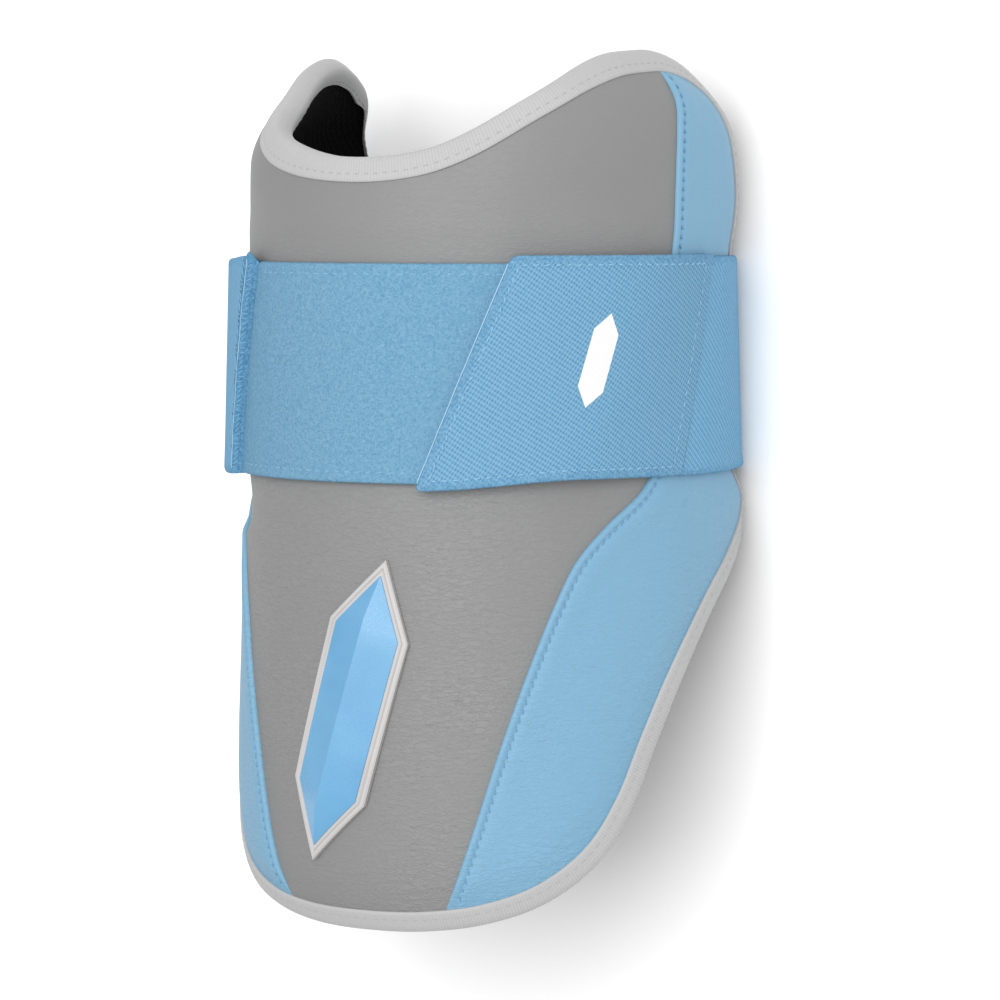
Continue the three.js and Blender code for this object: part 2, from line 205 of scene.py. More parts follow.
def wall(angle, y, lift):
    """Points on the wall, in metres."""
    angle, y, lift = np.broadcast_arrays(np.asarray(angle, float), y, lift)
    lean = np.arctan(wall_radius(angle, y + 0.5) - wall_radius(angle, y - 0.5))
    radius = wall_radius(angle, y) + lift * np.cos(lean)
    turn = np.radians(angle)
    height = AXIS_HEIGHT + radius * np.cos(turn)
    along = y + CENTRING + ear_rise(angle, y) - lift * np.sin(lean)
    return np.stack([radius * np.sin(turn), along, height], -1) * MM


def run_lengths(line):
    """Length along a line of places, in millimetres, at each of them."""
    step = np.diff(line, axis=0)
    middle = (line[1:, 1] + line[:-1, 1]) / 2
    return np.concatenate([[0], np.cumsum(np.hypot(step[:, 0] * degree_at(middle), step[:, 1]))])


def places_at(line, far, at):
    """Places at some lengths along a line, whose own places lie at the lengths far."""
    return np.stack([np.interp(at, far, line[:, 0]), np.interp(at, far, line[:, 1])], -1)


def resample(line, count):
    """Places evenly spaced along an open line."""
    far = run_lengths(line)
    return places_at(line, far, np.linspace(0, far[-1], count))


def normals_right(line, closed=False):
    """Directions to the right of a line's run, as steps in millimetres across and up."""
    if closed:
        step = np.roll(line, -1, axis=0) - np.roll(line, 1, axis=0)
    else:
        step = np.gradient(line, axis=0)
    step = step * np.stack([degree_at(line[:, 1]), np.ones(len(line))], -1)
    step /= np.linalg.norm(step, axis=1, keepdims=True)
    return np.stack([step[:, 1], -step[:, 0]], -1)


def shifted(line, distance, closed=False):
    """A line of places moved to its right."""
    move = normals_right(line, closed) * distance
    return line + move / np.stack([degree_at(line[:, 1]), np.ones(len(line))], -1)


def mirrored(line):
    return line * np.array([-1, 1])


EDGE_WRAP, EDGE_STEPS = 4, 6001


def edge_line(count):
    """The whole edge as an even closed line, anticlockwise from the middle of the hem."""
    right = np.array(EDGE, float)
    loop = np.concatenate([right, mirrored(right)[-2:0:-1]])
    rows = np.concatenate([loop[-EDGE_WRAP:], loop, loop[: EDGE_WRAP + 1]])
    chord = np.sqrt(np.hypot(*np.diff(rows, axis=0).T))
    at = np.concatenate([[0], np.cumsum(chord)])
    fine = np.linspace(at[EDGE_WRAP], at[EDGE_WRAP + len(loop)], EDGE_STEPS)
    dense = np.stack([spline(at, rows[:, 0])(fine), spline(at, rows[:, 1])(fine)], -1)
    return resample(dense, count + 1)[:-1]


OUTLINE_STEPS = 1600
HIDDEN_DEPTH = 1.8

outline = edge_line(OUTLINE_STEPS)
outline_points = wall(outline[:, 0], outline[:, 1], 0) / MM
hidden_edge = shifted(outline, -HIDDEN_DEPTH, closed=True)


def edge_distance(angle, y):
    """How far places lie from the guard's edge, in millimetres."""
    angle, y = np.broadcast_arrays(angle, y)
    points = wall(angle.ravel(), y.ravel(), 0) / MM
    nearest = np.full(len(points), np.inf)
    for part in np.array_split(np.arange(len(points)), max(1, len(points) // 2000)):
        gap = np.linalg.norm(points[part, None] - outline_points[None], axis=2)
        nearest[part] = gap.min(axis=1)
    return nearest.reshape(angle.shape)


def inside(line, border):
    """Which places of a line lie inside a closed border."""
    a, b = border, np.roll(border, -1, axis=0)
    x, y = line[:, 0, None], line[:, 1, None]
    spans = (a[:, 1] > y) != (b[:, 1] > y)
    rise = np.where(b[:, 1] == a[:, 1], 1, b[:, 1] - a[:, 1])
    crossing = a[:, 0] + (y - a[:, 1]) / rise * (b[:, 0] - a[:, 0])
    return (spans & (x < crossing)).sum(axis=1) % 2 == 1


def fill(left, right, bottom, top, columns, rows):
    """Grid of places inside four border lines."""
    l, r = resample(left, rows)[:, None], resample(right, rows)[:, None]
    b, t = resample(bottom, columns)[None], resample(top, columns)[None]
    u = np.linspace(0, 1, columns)[None, :, None]
    v = np.linspace(0, 1, rows)[:, None, None]
    across = l * (1 - u) + r * u
    along = b * (1 - v) + t * v
    foot = l[:1] * (1 - u) + r[:1] * u
    head = l[-1:] * (1 - u) + r[-1:] * u
    return across + along - foot * (1 - v) - head * v


# The padded leather face: soft at the edge, pressed in under the strap, never quite even

PILLOW, PILLOW_REACH = 0.7, 6
SQUEEZE = 0.55
WAVE = 0.14
BROAD_WAVES, FINE_WAVES, FINE_SHARE = 55, 140, 0.4
BOUND = 3


def edge_fall(edge, reach):
    """1 under the binding, fading over a reach inside it, by the distance from the guard's edge."""
    return np.exp(-((np.maximum(edge - BOUND, 0) / reach) ** 1.5))


def pillow(edge):
    """How far the face sinks towards the bound edge, by the distance from that edge."""
    return PILLOW * edge_fall(edge, PILLOW_REACH)


def strap_squeeze(y):
    """How far the strap presses the face in."""
    off_strap = np.abs(y - STRAP_MID) - TAB_WIDTH / 2
    return SQUEEZE * (1 - smoothstep(off_strap, -2, 7))


def relief(angle, y):
    """Lift of the leather face off the plain wall."""
    angle, y = np.broadcast_arrays(angle, y)
    points = wall(angle, y, 0).reshape(-1, 3)
    broad = np.array([noise.noise(Vector(p) * BROAD_WAVES) for p in points])
    fine = np.array([noise.noise(Vector(p) * FINE_WAVES) for p in points])
    waves = np.reshape(broad + FINE_SHARE * fine, angle.shape)
    return WAVE * waves - strap_squeeze(y) - pillow(edge_distance(angle, y))


# Meshes

def linked(name, data):
    """A new object of the scene."""
    thing = bpy.data.objects.new(name, data)
    bpy.context.scene.collection.objects.link(thing)
    return thing


def plain_mesh(holder, name):
    """A piece with the finished mesh of a curve or of a mesh with a modifier, which it takes the place of."""
    made = holder.evaluated_get(bpy.context.evaluated_depsgraph_get())
    piece = linked(name, bpy.data.meshes.new_from_object(made))
    piece.data.name = name
    bpy.data.objects.remove(holder)
    return piece


def merge_doubles(piece, distance):
    """Joins the points of a piece that lie within a distance, in metres."""
    shape = bmesh.new()
    shape.from_mesh(piece.data)
    bmesh.ops.remove_doubles(shape, verts=shape.verts, dist=distance)
    shape.to_mesh(piece.data)
    shape.free()


def mesh_piece(name, points, faces, uvs=None, marks=None, sharp=35):
    """A piece from points and faces, with UVs in metres and number attributes for its points."""
    mesh = bpy.data.meshes.new(name)
    mesh.from_pydata(np.asarray(points).tolist(), [], [list(face) for face in faces])
    if uvs is not None:
        corner = np.empty(len(mesh.loops), int)
        mesh.loops.foreach_get("vertex_index", corner)
        layer = mesh.uv_layers.new(name="cloth")
        layer.uv.foreach_set("vector", np.asarray(uvs, np.float32)[corner].ravel())
    for mark, values in (marks or {}).items():
        layer = mesh.attributes.new(mark, "FLOAT", "POINT")
        layer.data.foreach_set("value", np.asarray(values, np.float32).ravel())
    mesh.shade_smooth()
    mesh.set_sharp_from_angle(angle=math.radians(sharp))
    mesh.validate()
    return linked(name, mesh)


def grid_faces(rows, columns, first=0):
    at = first + np.arange(rows * columns).reshape(rows, columns)
    return np.stack([at[:-1, :-1], at[:-1, 1:], at[1:, 1:], at[1:, :-1]], -1).reshape(-1, 4)


def slab_faces(rows, columns):
    """Faces of a closed slab: an outer grid, then an inner one."""
    outer = np.arange(rows * columns).reshape(rows, columns)
    inner = outer + rows * columns
    rim = np.concatenate([outer[0], outer[1:, -1], outer[-1, -2::-1], outer[-2:0:-1, 0]])
    under = np.concatenate([inner[0], inner[1:, -1], inner[-1, -2::-1], inner[-2:0:-1, 0]])
    walls = np.stack([under, np.roll(under, -1), np.roll(rim, -1), rim], -1)
    back = grid_faces(rows, columns, rows * columns)[:, ::-1]
    return np.concatenate([grid_faces(rows, columns), back, walls])


def slab(name, outer, inner, uv=None, marks=None, sharp=35):
    """A closed piece between two grids of points."""
    rows, columns = outer.shape[:2]
    points = np.concatenate([outer.reshape(-1, 3), inner.reshape(-1, 3)])
    uvs = None if uv is None else np.tile(uv.reshape(-1, 2), (2, 1))
    both = {mark: np.tile(values.ravel(), 2) for mark, values in (marks or {}).items()}
    return mesh_piece(name, points, slab_faces(rows, columns), uvs, both, sharp)


def ring_faces(rings, sides, closed):
    """Faces between closed rings, back to the first ring where they are closed."""
    at = np.arange(rings * sides).reshape(rings, sides)
    on = np.roll(at, -1, axis=0)
    faces = np.stack([at, np.roll(at, -1, axis=1), np.roll(on, -1, axis=1), on], -1)
    return (faces if closed else faces[:-1]).reshape(-1, 4)


# Finishes

def socket(node, name):
    return next(s for s in node.inputs if s.identifier == name or s.name == name)


def add(tree, kind, settings=None, **inputs):
    """A node with its settings, and its inputs set or linked by name."""
    node = tree.nodes.new(kind)
    for name, value in (settings or {}).items():
        setattr(node, name, value)
    for name, value in inputs.items():
        target = socket(node, name.replace("_", " "))
        if isinstance(value, bpy.types.NodeSocket):
            tree.links.new(value, target)
        else:
            target.default_value = value
    return node


def calc(tree, operation, *values):
    """Result of one sum on numbers or sockets."""
    node = tree.nodes.new("ShaderNodeMath")
    node.operation = operation
    for place, value in zip(node.inputs, values):
        if isinstance(value, bpy.types.NodeSocket):
            tree.links.new(value, place)
        else:
            place.default_value = value
    return node.outputs[0]


def blend_colour(tree, share, low, high):
    node = tree.nodes.new("ShaderNodeMix")
    node.data_type = "RGBA"
    tree.links.new(share, node.inputs[0])
    for place, value in zip((node.inputs[6], node.inputs[7]), (low, high)):
        if isinstance(value, bpy.types.NodeSocket):
            tree.links.new(value, place)
        else:
            place.default_value = value
    return node.outputs[2]


def spread(tree, value, low, high, to_low=0.0, to_high=1.0):
    node = add(tree, "ShaderNodeMapRange", Value=value)
    for name, number in zip(("From Min", "From Max", "To Min", "To Max"), (low, high, to_low, to_high)):
        socket(node, name).default_value = number
    return node.outputs[0]


def new_finish(name, **shader_inputs):
    material = bpy.data.materials.new(name)
    material.use_nodes = True
    tree = material.node_tree
    tree.nodes.clear()
    shader = add(tree, "ShaderNodeBsdfPrincipled", **shader_inputs)
    add(tree, "ShaderNodeOutputMaterial", Surface=shader.outputs[0])
    return material, tree, shader


def bump(tree, shader, height, strength, distance):
    node = add(tree, "ShaderNodeBump", Height=height, Strength=strength, Distance=distance)
    tree.links.new(node.outputs[0], shader.inputs["Normal"])


def object_coords(tree):
    return add(tree, "ShaderNodeTexCoord").outputs["Object"]


def cloth_coords(tree):
    """The UV map's two numbers, in metres along and across the cloth."""
    uv = add(tree, "ShaderNodeUVMap", {"uv_map": "cloth"}).outputs[0]
    parts = add(tree, "ShaderNodeSeparateXYZ", Vector=uv)
    return parts.outputs[0], parts.outputs[1]


def mark_on(tree, name):
    """The number attribute of the mesh that has a name."""
    return add(tree, "ShaderNodeAttribute", {"attribute_name": name}).outputs["Fac"]


def cloud(tree, coords, scale, detail, **more):
    """Noise by its scale, in cycles for each metre."""
    return add(tree, "ShaderNodeTexNoise", Vector=coords, Scale=scale, Detail=detail, **more).outputs[0]


def paint(tree, shader, share, dark, light):
    """Base colour between a dark and a light one."""
    tree.links.new(blend_colour(tree, share, dark, light), shader.inputs["Base Color"])


def times(tree, first, second):
    return calc(tree, "MULTIPLY", first, second)


def plus(tree, first, second):
    return calc(tree, "ADD", first, second)


def minus(tree, first, second):
    return calc(tree, "SUBTRACT", first, second)


def colour(red, green, blue):
    """Linear colour of an sRGB one."""
    part = np.array([red, green, blue]) / 255
    linear = np.where(part <= 0.04045, part / 12.92, ((part + 0.055) / 1.055) ** 2.4)
    return (*linear.tolist(), 1.0)


def leather(name, light, dark):
    """Smooth leather with fine wavy creases that run round the arm, deeper towards the hem, with painted
    shade darkening the creases.
    """
    material, tree, shader = new_finish(name, Specular_IOR_Level=0.3)
    coords = object_coords(tree)
    long_ways = add(tree, "ShaderNodeMapping", Vector=coords, Scale=(0.55, 1.5, 0.55)).outputs[0]
    folds = cloud(tree, long_ways, 720, 2, Distortion=0.8)
    creases = spread(tree, calc(tree, "ABSOLUTE", minus(tree, folds, 0.5)), 0.0, 0.12)
    pores = cloud(tree, coords, 2300, 2)
    broad = cloud(tree, coords, 24, 2)
    worn = spread(tree, broad, 0.3, 0.65, 0.4, 1.0)
    up_arm = add(tree, "ShaderNodeSeparateXYZ", Vector=coords).outputs["Y"]
    slack = times(tree, worn, spread(tree, up_arm, -0.09, 0.08, 1.0, 0.35))
    grain = plus(tree, times(tree, creases, 0.75), times(tree, pores, 0.25))
    # Painted shade: the colour is darker along the crease lines, more so towards the hem.
    crease_shade = times(tree, minus(tree, creases, 0.6), times(tree, slack, 0.3))
    tone = plus(tree, broad, crease_shade)
    paint(tree, shader, tone, dark, light)
    tree.links.new(spread(tree, tone, 0.2, 0.8, 0.58, 0.5), shader.inputs["Roughness"])
    bump(tree, shader, times(tree, grain, slack), 0.75, 0.000185)
    return material


def brushed_loop(name, light, dark):
    """Brushed loop cloth: short fibres in tufts."""
    material, tree, shader = new_finish(name, Roughness=0.95, Specular_IOR_Level=0.12)
    coords = object_coords(tree)
    fibres = cloud(tree, coords, 2500, 3, Roughness=0.7)
    tufts = cloud(tree, coords, 1150, 3, Roughness=0.65)
    pile = plus(tree, times(tree, fibres, 0.6), times(tree, tufts, 0.4))
    paint(tree, shader, spread(tree, pile, 0.39, 0.61), dark, light)
    bump(tree, shader, pile, 0.8, 0.0008)
    return material


def wave(tree, along, across, angle, pitch):
    """Even ridges across the cloth: the angle of their normal in degrees, and their pitch."""
    turns = 2 * math.pi / pitch
    first = times(tree, along, turns * math.cos(math.radians(angle)))
    second = times(tree, across, turns * math.sin(math.radians(angle)))
    return calc(tree, "SINE", plus(tree, first, second))


# Rows of yarn in the webbing: angle of their normal in degrees, pitch in metres
WIDE_ROWS = (54, 0.00106)
CLOSE_ROWS = (147.5, 0.00073)


def webbing(name, light, dark, mark=None):
    """Webbing in a slanted basket weave, fuzzy along its sewn rim and painted with shade there, with an
    optional printed mark.
    """
    material, tree, shader = new_finish(name, Roughness=0.85, Specular_IOR_Level=0.15)
    along, across = cloth_coords(tree)
    rim = mark_on(tree, "rim")
    field = spread(tree, rim, 1.0, 2.2, 0.15, 1.0)
    fibres = cloud(tree, object_coords(tree), 1500, 4, Roughness=0.7)
    fuzz = times(tree, minus(tree, fibres, 0.5), spread(tree, rim, 1.0, 2.2, 9.0, 4.0))
    yarns = plus(tree, wave(tree, along, across, *WIDE_ROWS), wave(tree, along, across, *CLOSE_ROWS))
    height = plus(tree, times(tree, yarns, field), fuzz)
    # Painted shade: the colour darkens within about 2.6 mm of the rim, where the rounded edge turns away.
    rim_shaded_height = minus(tree, height, spread(tree, rim, 1.0, 2.6, 0.6, 0.0))
    cloth = blend_colour(tree, spread(tree, rim_shaded_height, -1.9, 0.8), dark, light)
    if mark:
        cloth = blend_colour(tree, mark(tree, along, across), cloth, MARK_WHITE)
    tree.links.new(cloth, shader.inputs["Base Color"])
    bump(tree, shader, height, 0.35, 0.0002)
    return material


# Printed mark on the tab, in metres on the cloth
MARK_ALONG, MARK_ACROSS = 0.0405, 0.0282
MARK_HALF_LENGTH, MARK_HALF_WIDTH = 0.0115, 0.0030
MARK_TAPER = 1.5
MARK_WHITE = colour(226, 226, 226)


def hexagon_mark(tree, along, across):
    """1 inside a plain long hexagon printed on the tab, 0 outside."""
    cos, sin = math.cos(math.radians(BADGE_TILT)), math.sin(math.radians(BADGE_TILT))
    x = minus(tree, along, MARK_ALONG)
    y = minus(tree, across, MARK_ACROSS)
    wide = calc(tree, "ABSOLUTE", minus(tree, times(tree, x, cos), times(tree, y, sin)))
    tall = calc(tree, "ABSOLUTE", plus(tree, times(tree, x, sin), times(tree, y, cos)))
    taper = plus(tree, tall, times(tree, wide, MARK_TAPER))
    in_width = calc(tree, "LESS_THAN", wide, MARK_HALF_WIDTH)
    in_length = calc(tree, "LESS_THAN", taper, MARK_HALF_LENGTH)
    return times(tree, in_width, in_length)


# Pitch of the liner's holes round and along the arm, in metres
HOLES_ROUND, HOLES_ALONG = 0.0026, 0.0032


def spacer_mesh(name, light, dark):
    """Knitted spacer mesh with rows of small holes, painted darker as their shade."""
    material, tree, shader = new_finish(name, Roughness=0.9, Specular_IOR_Level=0.08)
    along, across = cloth_coords(tree)
    rows = wave(tree, along, across, 0, HOLES_ROUND)
    columns = wave(tree, along, across, 90, HOLES_ALONG)
    holes = spread(tree, times(tree, rows, columns), -0.1, 0.55)
    # Painted shade: the holes are coloured darker than the knit around them.
    paint(tree, shader, holes, light, dark)
    bump(tree, shader, times(tree, holes, -1), 0.6, 0.0006)
    return material


def ribbed_tape(name, light, dark):
    """Woven tape: its ribs are in the mesh; the colour is yarn tone plus painted light and shade, lighter on
    the rib crowns.
    """
    material, tree, shader = new_finish(name, Roughness=0.75, Specular_IOR_Level=0.25, Sheen_Weight=0.1)
    coords = object_coords(tree)
    yarn = cloud(tree, coords, 1300, 3)
    broad = cloud(tree, coords, 60, 2)
    # Painted light and shade: the colour is lighter on the rib crowns and darker between them.
    ribs = times(tree, mark_on(tree, "rib_crown_shading"), 0.4)
    tone = plus(tree, ribs, plus(tree, times(tree, yarn, 0.35), times(tree, broad, 0.25)))
    paint(tree, shader, tone, dark, light)
    bump(tree, shader, yarn, 0.25, 0.0002)
    return material


def thread(name, light, dark):
    """Twisted sewing thread."""
    material, tree, shader = new_finish(name, Roughness=0.6, Specular_IOR_Level=0.3)
    twist = cloud(tree, object_coords(tree), 2600, 2)
    paint(tree, shader, twist, dark, light)
    bump(tree, shader, twist, 0.3, 0.0002)
    return material


def moulded(name, light, dark, roughness, grain):
    """Moulded rubber or plastic with a fine even grain."""
    material, tree, shader = new_finish(name, Specular_IOR_Level=0.5)
    coords = object_coords(tree)
    speck = cloud(tree, coords, 1800, 2)
    paint(tree, shader, cloud(tree, coords, 70, 2), dark, light)
    rough = spread(tree, speck, 0.3, 0.7, roughness - 0.06, roughness + 0.06)
    tree.links.new(rough, shader.inputs["Roughness"])
    bump(tree, shader, speck, grain, 0.0002)
    return material


GREY_LEATHER = leather("grey_leather", colour(131, 131, 131), colour(121, 121, 121))
BLUE_LEATHER = leather("blue_leather", colour(119, 161, 187), colour(110, 154, 181))
GREY_TAPE = ribbed_tape("grey_tape", colour(181, 181, 181), colour(157, 157, 157))
BLACK_MESH = spacer_mesh("black_mesh", colour(5, 5, 6), colour(2, 2, 2))
BLUE_LOOP = brushed_loop("blue_loop", colour(122, 164, 190), colour(93, 140, 171))
# A darker copy of the loop cloth for the sewn ridge: painted shade between its overlock threads.
SHADED_RIDGE_CLOTH = brushed_loop("ridge_cloth_painted_shade", colour(108, 157, 189), colour(66, 119, 156))
BLUE_WEAVE = webbing("blue_weave", colour(119, 167, 198), colour(82, 133, 170))
BLUE_TAB = webbing("blue_tab", colour(116, 160, 188), colour(79, 128, 163), hexagon_mark)
BLUE_THREAD = thread("blue_thread", colour(138, 181, 206), colour(112, 160, 191))
LOOP_THREAD = thread("loop_thread", colour(133, 175, 201), colour(110, 156, 186))
RIDGE_THREAD = thread("ridge_thread", colour(115, 163, 193), colour(92, 142, 176))
# Seam thread painted darker than the leather: the shade of the stitch holes where the thread dives.
SHADED_SEAM_THREAD = thread("seam_thread_painted_shade", colour(107, 152, 181), colour(86, 133, 166))
# Pale thread that paints the highlight along the crests of folded edges.
PALE_HIGHLIGHT_THREAD = thread("pale_highlight_thread", colour(168, 199, 217), colour(149, 185, 208))
GREY_THREAD = thread("grey_thread", colour(170, 170, 170), colour(152, 152, 152))
GREY_RUBBER = moulded("grey_rubber", colour(185, 183, 182), colour(172, 170, 170), 0.55, 0.15)
BLUE_GLOSS = moulded("blue_gloss", colour(106, 161, 197), colour(79, 138, 180), 0.28, 0.03)


# Leather panels

SEAM_LAP = 3.5
SEAM_STEPS = 1400
SIDE_REACH = 60
SIDE_GAP = 0.03
PUCKER, PUCKER_WIDTH = 0.13, 0.5
FOLD_STEPS = [0, 0.12, 0.3, 0.55, 0.8, 1.05, 1.3, 1.57, 1.8, 2, 2.2, 2.43, 2.8, 3.4, 4.3, 5.4, 7]
STITCH_IN = 2.0
SEAM_PITCH = 2.15

# Lift of a side panel's face by how far it lies from its turned edge: distance, lift
FOLD = [
    (0, 0.3), (0.12, 0.58), (0.3, 0.8), (0.55, 0.93), (0.8, 0.97), (1.05, 0.95), (1.3, 0.87), (1.57, 0.74),
    (2, 0.6), (2.43, 0.74), (2.8, 0.85), (3.4, 0.92), (4.3, 0.91), (5.4, 0.82), (7, 0.64), (10, 0.5),
    (14, 0.45), (90, 0.45),
]
fold_lift = spline(*zip(*FOLD))


def seam_line(shift):
    """The right seam, moved away from the middle, inside the hidden edge of the guard."""
    y = np.linspace(-105, 103, SEAM_STEPS)
    line = shifted(np.stack([seam_at(y), y], -1), shift)
    return line[inside(line, hidden_edge)]


def border_index(place):
    """Number of the hidden edge's place nearest to a row of the edge table."""
    return int(np.argmin(np.hypot(*(hidden_edge - np.array(place)).T)))


HEEL = border_index((116, -12.6))
EAR_BACK = border_index((108, 92))
HALF = len(hidden_edge) // 2


def border_between(start, end, line=hidden_edge):
    return line[start : end + 1]


def under_tape(angle, y):
    """0 where the binding covers the leather, 1 well clear of it."""
    return smoothstep(edge_distance(angle, y), 5.8, 12.5)


def middle_grid():
    right = seam_line(SEAM_LAP)
    left = mirrored(right)
    hem_end, ear_end = border_index(right[0]), border_index(right[-1])
    hem = border_between(0, hem_end)
    neck = border_between(ear_end, HALF)
    bottom = np.concatenate([left[:1], mirrored(hem)[::-1], hem[1:], right[:1]])
    top = np.concatenate([left[-1:], mirrored(neck), neck[-2::-1], right[-1:]])
    return fill(left, right, bottom, top, *MIDDLE_GRID)


def side_grid():
    """The right side panel's places, and how far each column lies from its turned edge."""
    strips = [resample(seam_line(distance), SIDE_ROWS) for distance in FOLD_STEPS]
    left = seam_line(FOLD_STEPS[-1])
    hem_start, ear_end = border_index(left[0]), border_index(left[-1])
    right = border_between(HEEL, EAR_BACK)
    bottom = np.concatenate([left[:1], border_between(hem_start, HEEL)[1:]])
    top = np.concatenate([left[-1:], border_between(EAR_BACK, ear_end)[-2::-1]])
    rest = fill(left, right, bottom, top, SIDE_COLUMNS, SIDE_ROWS)
    places = np.concatenate([np.stack(strips, 1), rest[:, 1:]], axis=1)
    across = np.linspace(0, SIDE_REACH, SIDE_COLUMNS)[1:]
    distance = np.concatenate([FOLD_STEPS, FOLD_STEPS[-1] + across])
    return places, distance


def middle_panel():
    grid = middle_grid()
    angle, y = grid[..., 0], grid[..., 1]
    face = relief(angle, y)
    return slab("leather_middle", wall(angle, y, face), wall(angle, y, face - LEATHER))


def side_panel(name, places, distance):
    angle, y = places[..., 0], places[..., 1]
    face = relief(angle, y)
    seam_column = places[:, int(np.argmin(distance))]
    run = run_lengths(seam_column)[:, None]
    near_stitches = np.exp(-(((distance - STITCH_IN) / PUCKER_WIDTH) ** 2))
    pucker = PUCKER * near_stitches * np.cos(2 * np.pi * run / SEAM_PITCH)
    outer = face + SIDE_GAP + (fold_lift(distance) - pucker) * under_tape(angle, y)
    inner = face - LEATHER * smoothstep(distance, 4, 5.6)
    return slab(name, wall(angle, y, outer), wall(angle, y, inner))


# Liner and binding

LINER_TAPER, LINER_TAPER_REACH = 0.5, 7
LINER_INSET = 0.9
LINER_SWELL = 0.3


def liner():
    border = shifted(outline, -LINER_INSET, closed=True)
    right = border_between(HEEL, EAR_BACK, border)
    hem = border_between(0, HEEL, border)
    neck = border_between(EAR_BACK, HALF, border)
    bottom = np.concatenate([mirrored(hem)[::-1], hem[1:]])
    top = np.concatenate([mirrored(neck), neck[-2::-1]])
    grid = fill(mirrored(right), right, bottom, top, *LINER_GRID)
    angle, y = grid[..., 0], grid[..., 1]
    uv = np.stack([angle * degree_at(STRAP_MID), y], -1) * MM
    edge = edge_distance(angle, y)
    back = LINER_FACE - LINER_SWELL + LINER_TAPER * edge_fall(edge, LINER_TAPER_REACH)
    front = LINER_TOP - pillow(edge) - strap_squeeze(y)
    return slab("mesh_liner", wall(angle, y, front), wall(angle, y, back), uv)


TAPE_FACE = 0.45 - PILLOW
TAPE_BACK = LINER_FACE + LINER_TAPER - 0.85
RIB_PITCH = 0.74
RIB_HEIGHT = 0.04
RIB_STEPS = 4

# Section of the binding from the lip on the leather round the edge to the lip on the liner:
# depth from the edge, face it lies on (1 leather, 0 liner), distance off that face, rib share
TAPE_SECTION = [
    (6.5, 1, -0.3, 0), (6.55, 1, 0.1, 0), (6.3, 1, 0.32, 0.4), (5.6, 1, 0.3, 1), (4.2, 1, 0.14, 1),
    (2.6, 1, 0.02, 1), (1.2, 1, -0.15, 1), (0.4, 1, -0.6, 1), (0, 1, -1.3, 1), (0, 0, 1.3, 1),
    (0.4, 0, 0.6, 1), (1.1, 0, 0.15, 1), (1.9, 0, -0.02, 1), (2.7, 0, -0.1, 1), (3.5, 0, -0.2, 0.4),
    (3.7, 0, 0.3, 0), (1.6, 0, 0.75, 0), (1.6, 1, -0.75, 0),
]
LAPPED_ANGLES = (2, 34, 60, 84, 1)


def outer_lap(edge):
    """Share of the binding's lap on the leather: less along the hem, more on the left ear."""
    hem = 1 - smoothstep(edge[:, 1], -75, -45)
    left_ear = within(-edge[:, 0], *LAPPED_ANGLES) * smoothstep(edge[:, 1], 66, 78)
    return (0.9 - 0.04 * hem + 0.2 * left_ear)[:, None]


def inner_lap(edge):
    """Share of the binding's lap on the liner at each place of the edge: little behind the ears."""
    behind = smoothstep(np.abs(edge[:, 0]), 104, 112) * smoothstep(edge[:, 1], 50, 62)
    return 1 - 0.85 * behind[:, None]


def binding():
    total = run_lengths(np.concatenate([outline, outline[:1]]))[-1]
    ribs = int(total / RIB_PITCH)
    edge = edge_line(ribs * RIB_STEPS)
    crown = 0.5 + 0.5 * np.cos(2 * np.pi * np.arange(len(edge)) / RIB_STEPS)
    threads, crown_shading_rows = [], []
    for depth, on_leather, off, share in TAPE_SECTION:
        line = shifted(edge, -depth * (outer_lap(edge) if on_leather else inner_lap(edge)), closed=True)
        base = TAPE_FACE - strap_squeeze(line[:, 1]) if on_leather else TAPE_BACK
        away = 1 if on_leather else -1
        threads.append(wall(line[:, 0], line[:, 1], base + off + away * RIB_HEIGHT * share * crown))
        # Crown share of each ring, which the tape's colour follows as painted light and shade.
        crown_shading_rows.append(crown * share + 0.5 * (1 - share))
    points = np.stack(threads, 1)
    faces = ring_faces(*points.shape[:2], closed=True)
    marks = {"rib_crown_shading": np.stack(crown_shading_rows, 1)}
    return mesh_piece("ribbed_binding", points.reshape(-1, 3), faces, marks=marks, sharp=60)


# Strap

# Distances of the rows at a soft edge, and roughly one degree of wrap for the lean of a slanted end
SOFT_EDGE = [0, 0.12, 0.3, 0.55, 0.9, 1.4, 2.1]
SLANT_STEP = 1.02
TAB_FOOT_RISE = 1.265
TAB_TOP_DIP = 0.55

# Columns of the elastic's stretches, and how far it slips down on the left flank
BEND_STEPS, FLOOR_STEPS, RIGHT_STEPS, LEFT_STEPS = 14, 60, 40, 90
SLIP, SLIP_LESS_AT_TOP = 1.1, 0.2
SLIP_ANGLES = (36, 58, 80, 112, 1)


def across_shares(width, count):
    """Shares of a strap's width from its foot to its top, closer together at its soft edges."""
    soft = np.array(SOFT_EDGE) / width
    return np.concatenate([soft, np.linspace(soft[-1], 1 - soft[-1], count)[1:-1], 1 - soft[::-1]])


def edge_drop(distance, radius):
    """How far a rounded edge falls below the face, by the distance from that edge."""
    inner = np.clip(radius - distance, 0, radius)
    return radius - np.sqrt(radius**2 - inner**2)


def leaning(top_angle, slant, share):
    return top_angle - slant * (1 - share)


